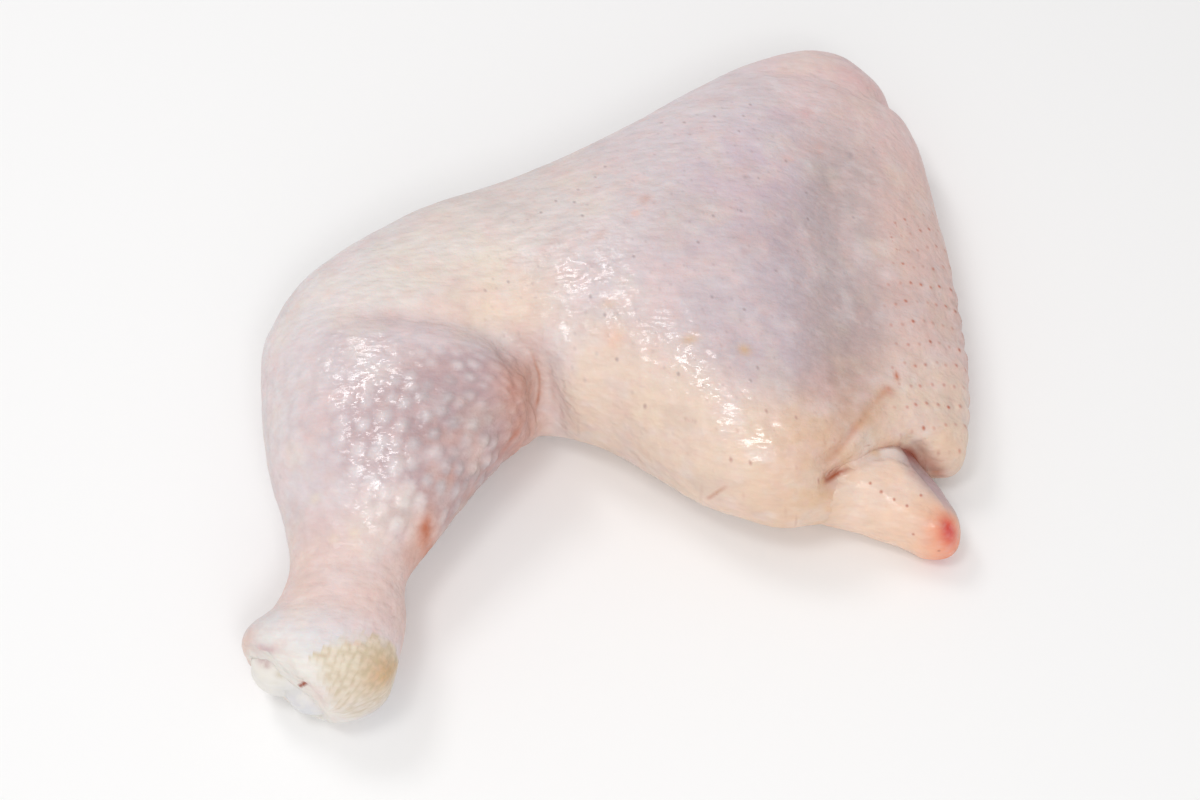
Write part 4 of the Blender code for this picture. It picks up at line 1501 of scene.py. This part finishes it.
def dot_share(finish, radius):
    """How much of a dot shows at a place: its strength times a ramp of the distance, from sqrt(u^2 + v^2)."""
    u, v, strength = finish.parts("dots")
    flat = finish.feed(finish.node("CombineXYZ"), {"X": u, "Y": v}).outputs[0]
    away = finish.feed(finish.node("VectorMath", operation="LENGTH"), {0: flat}).outputs["Value"]
    return finish.product(finish.mapped(away, DOT_CORE * radius, radius, 1.0, 0.0), strength)


def skin_material(name, dot_radius):
    """Wet raw skin: attribute colour, marbling, dots, lines, scattering, fine bumps, film of moisture."""
    finish = Finish(name)
    colour = finish.attribute("colour", "Color")
    for grain, spread, tint, blend in MARBLING:
        colour = finish.mixed(finish.mapped(finish.noise(*grain), *spread), colour, tint, blend)
    dot, (line, line_colour) = dot_share(finish, dot_radius), line_share(finish)
    dot_colour = finish.mixed(finish.attribute("redness"), paint("dot grey"), paint("dot brown"))
    colour = finish.mixed(line, finish.mixed(dot, colour, dot_colour), line_colour)

    film = finish.product(finish.attribute("wet"), finish.mapped(finish.noise(*FILM_GRAIN), *FILM_SPREAD))
    slack = finish.bumped(finish.noise(*SLACK_GRAIN), *SLACK_BUMP)
    streak = finish.bumped(finish.noise(*STREAK_GRAIN), *STREAK_BUMP, slack)
    knobs = finish.bumped(dot, *DOT_BUMP, finish.bumped(line, *LINE_BUMP, streak))
    return finish.fill({
        "Base Color": colour,
        "Roughness": finish.mapped(film, 0.0, 1.0, *SKIN_ROUGHNESS),
        "Normal": finish.bumped(finish.noise(*PORE_GRAIN), *PORE_BUMP, knobs),
        "Coat Weight": film,
        "Coat Normal": knobs,
        "Coat Roughness": FILM_ROUGHNESS,
        "Subsurface Weight": SCATTER_SHARE,
        "Subsurface Radius": SCATTER_COLOUR,
        "Subsurface Scale": SCATTER_DISTANCE * MM,
    })


leg_skin.data.materials.append(skin_material("raw skin", LEG_DOT_RADIUS))
flank_fold.data.materials.append(skin_material("raw skin of the fold", FOLD_DOT_RADIUS))
print("skin on the leg and the fold")

# %% [markdown]
# ## Cartilage material
#
# Cartilage is smoother and more see-through than skin, so it scatters more and shines more sharply. Shreds of
# tissue on it make it patchy.

# %% Cartilage material
SHREDS_GRAIN = (2.0, 3.0)
SHREDS_SPREAD = (0.45, 0.65, 0.0, 0.5)
GRISTLE_ROUGHNESS = (0.0, 0.5, 0.30, 0.48)
GRISTLE_GRAIN = (1.2, 2.0)
GRISTLE_BUMP = (0.03, 0.4)
GRISTLE_FILM = 0.12
GRISTLE_FILM_ROUGHNESS = 0.10
GRISTLE_SCATTER_SHARE = 0.3
GRISTLE_SCATTER_COLOUR = (0.8, 0.8, 1.0)
GRISTLE_SCATTER_DISTANCE = 2.0

gristle = Finish("wet cartilage")
shreds = gristle.mapped(gristle.noise(*SHREDS_GRAIN), *SHREDS_SPREAD)
line, line_colour = line_share(gristle)
colour = gristle.mixed(shreds, gristle.attribute("colour", "Color"), paint("milk"))
cartilage.data.materials.append(gristle.fill({
    "Base Color": gristle.mixed(line, colour, line_colour),
    "Roughness": gristle.mapped(shreds, *GRISTLE_ROUGHNESS),
    "Normal": gristle.bumped(gristle.noise(*GRISTLE_GRAIN), *GRISTLE_BUMP),
    "Coat Weight": GRISTLE_FILM,
    "Coat Roughness": GRISTLE_FILM_ROUGHNESS,
    "Subsurface Weight": GRISTLE_SCATTER_SHARE,
    "Subsurface Radius": GRISTLE_SCATTER_COLOUR,
    "Subsurface Scale": GRISTLE_SCATTER_DISTANCE * MM,
}))
print("cartilage finished")

# %% [markdown]
# ## Tying the pieces to the frame
#
# Every piece rides on the one body, and the CAD solid that it stands for is hidden.

# %% Ride and replace
for piece, node, finish in (
    (leg_skin, "leg", "skin"),
    (flank_fold, "leg", "skin"),
    (cartilage, "hock_cartilage", "cartilage"),
):
    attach(piece, "root")
    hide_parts(node)
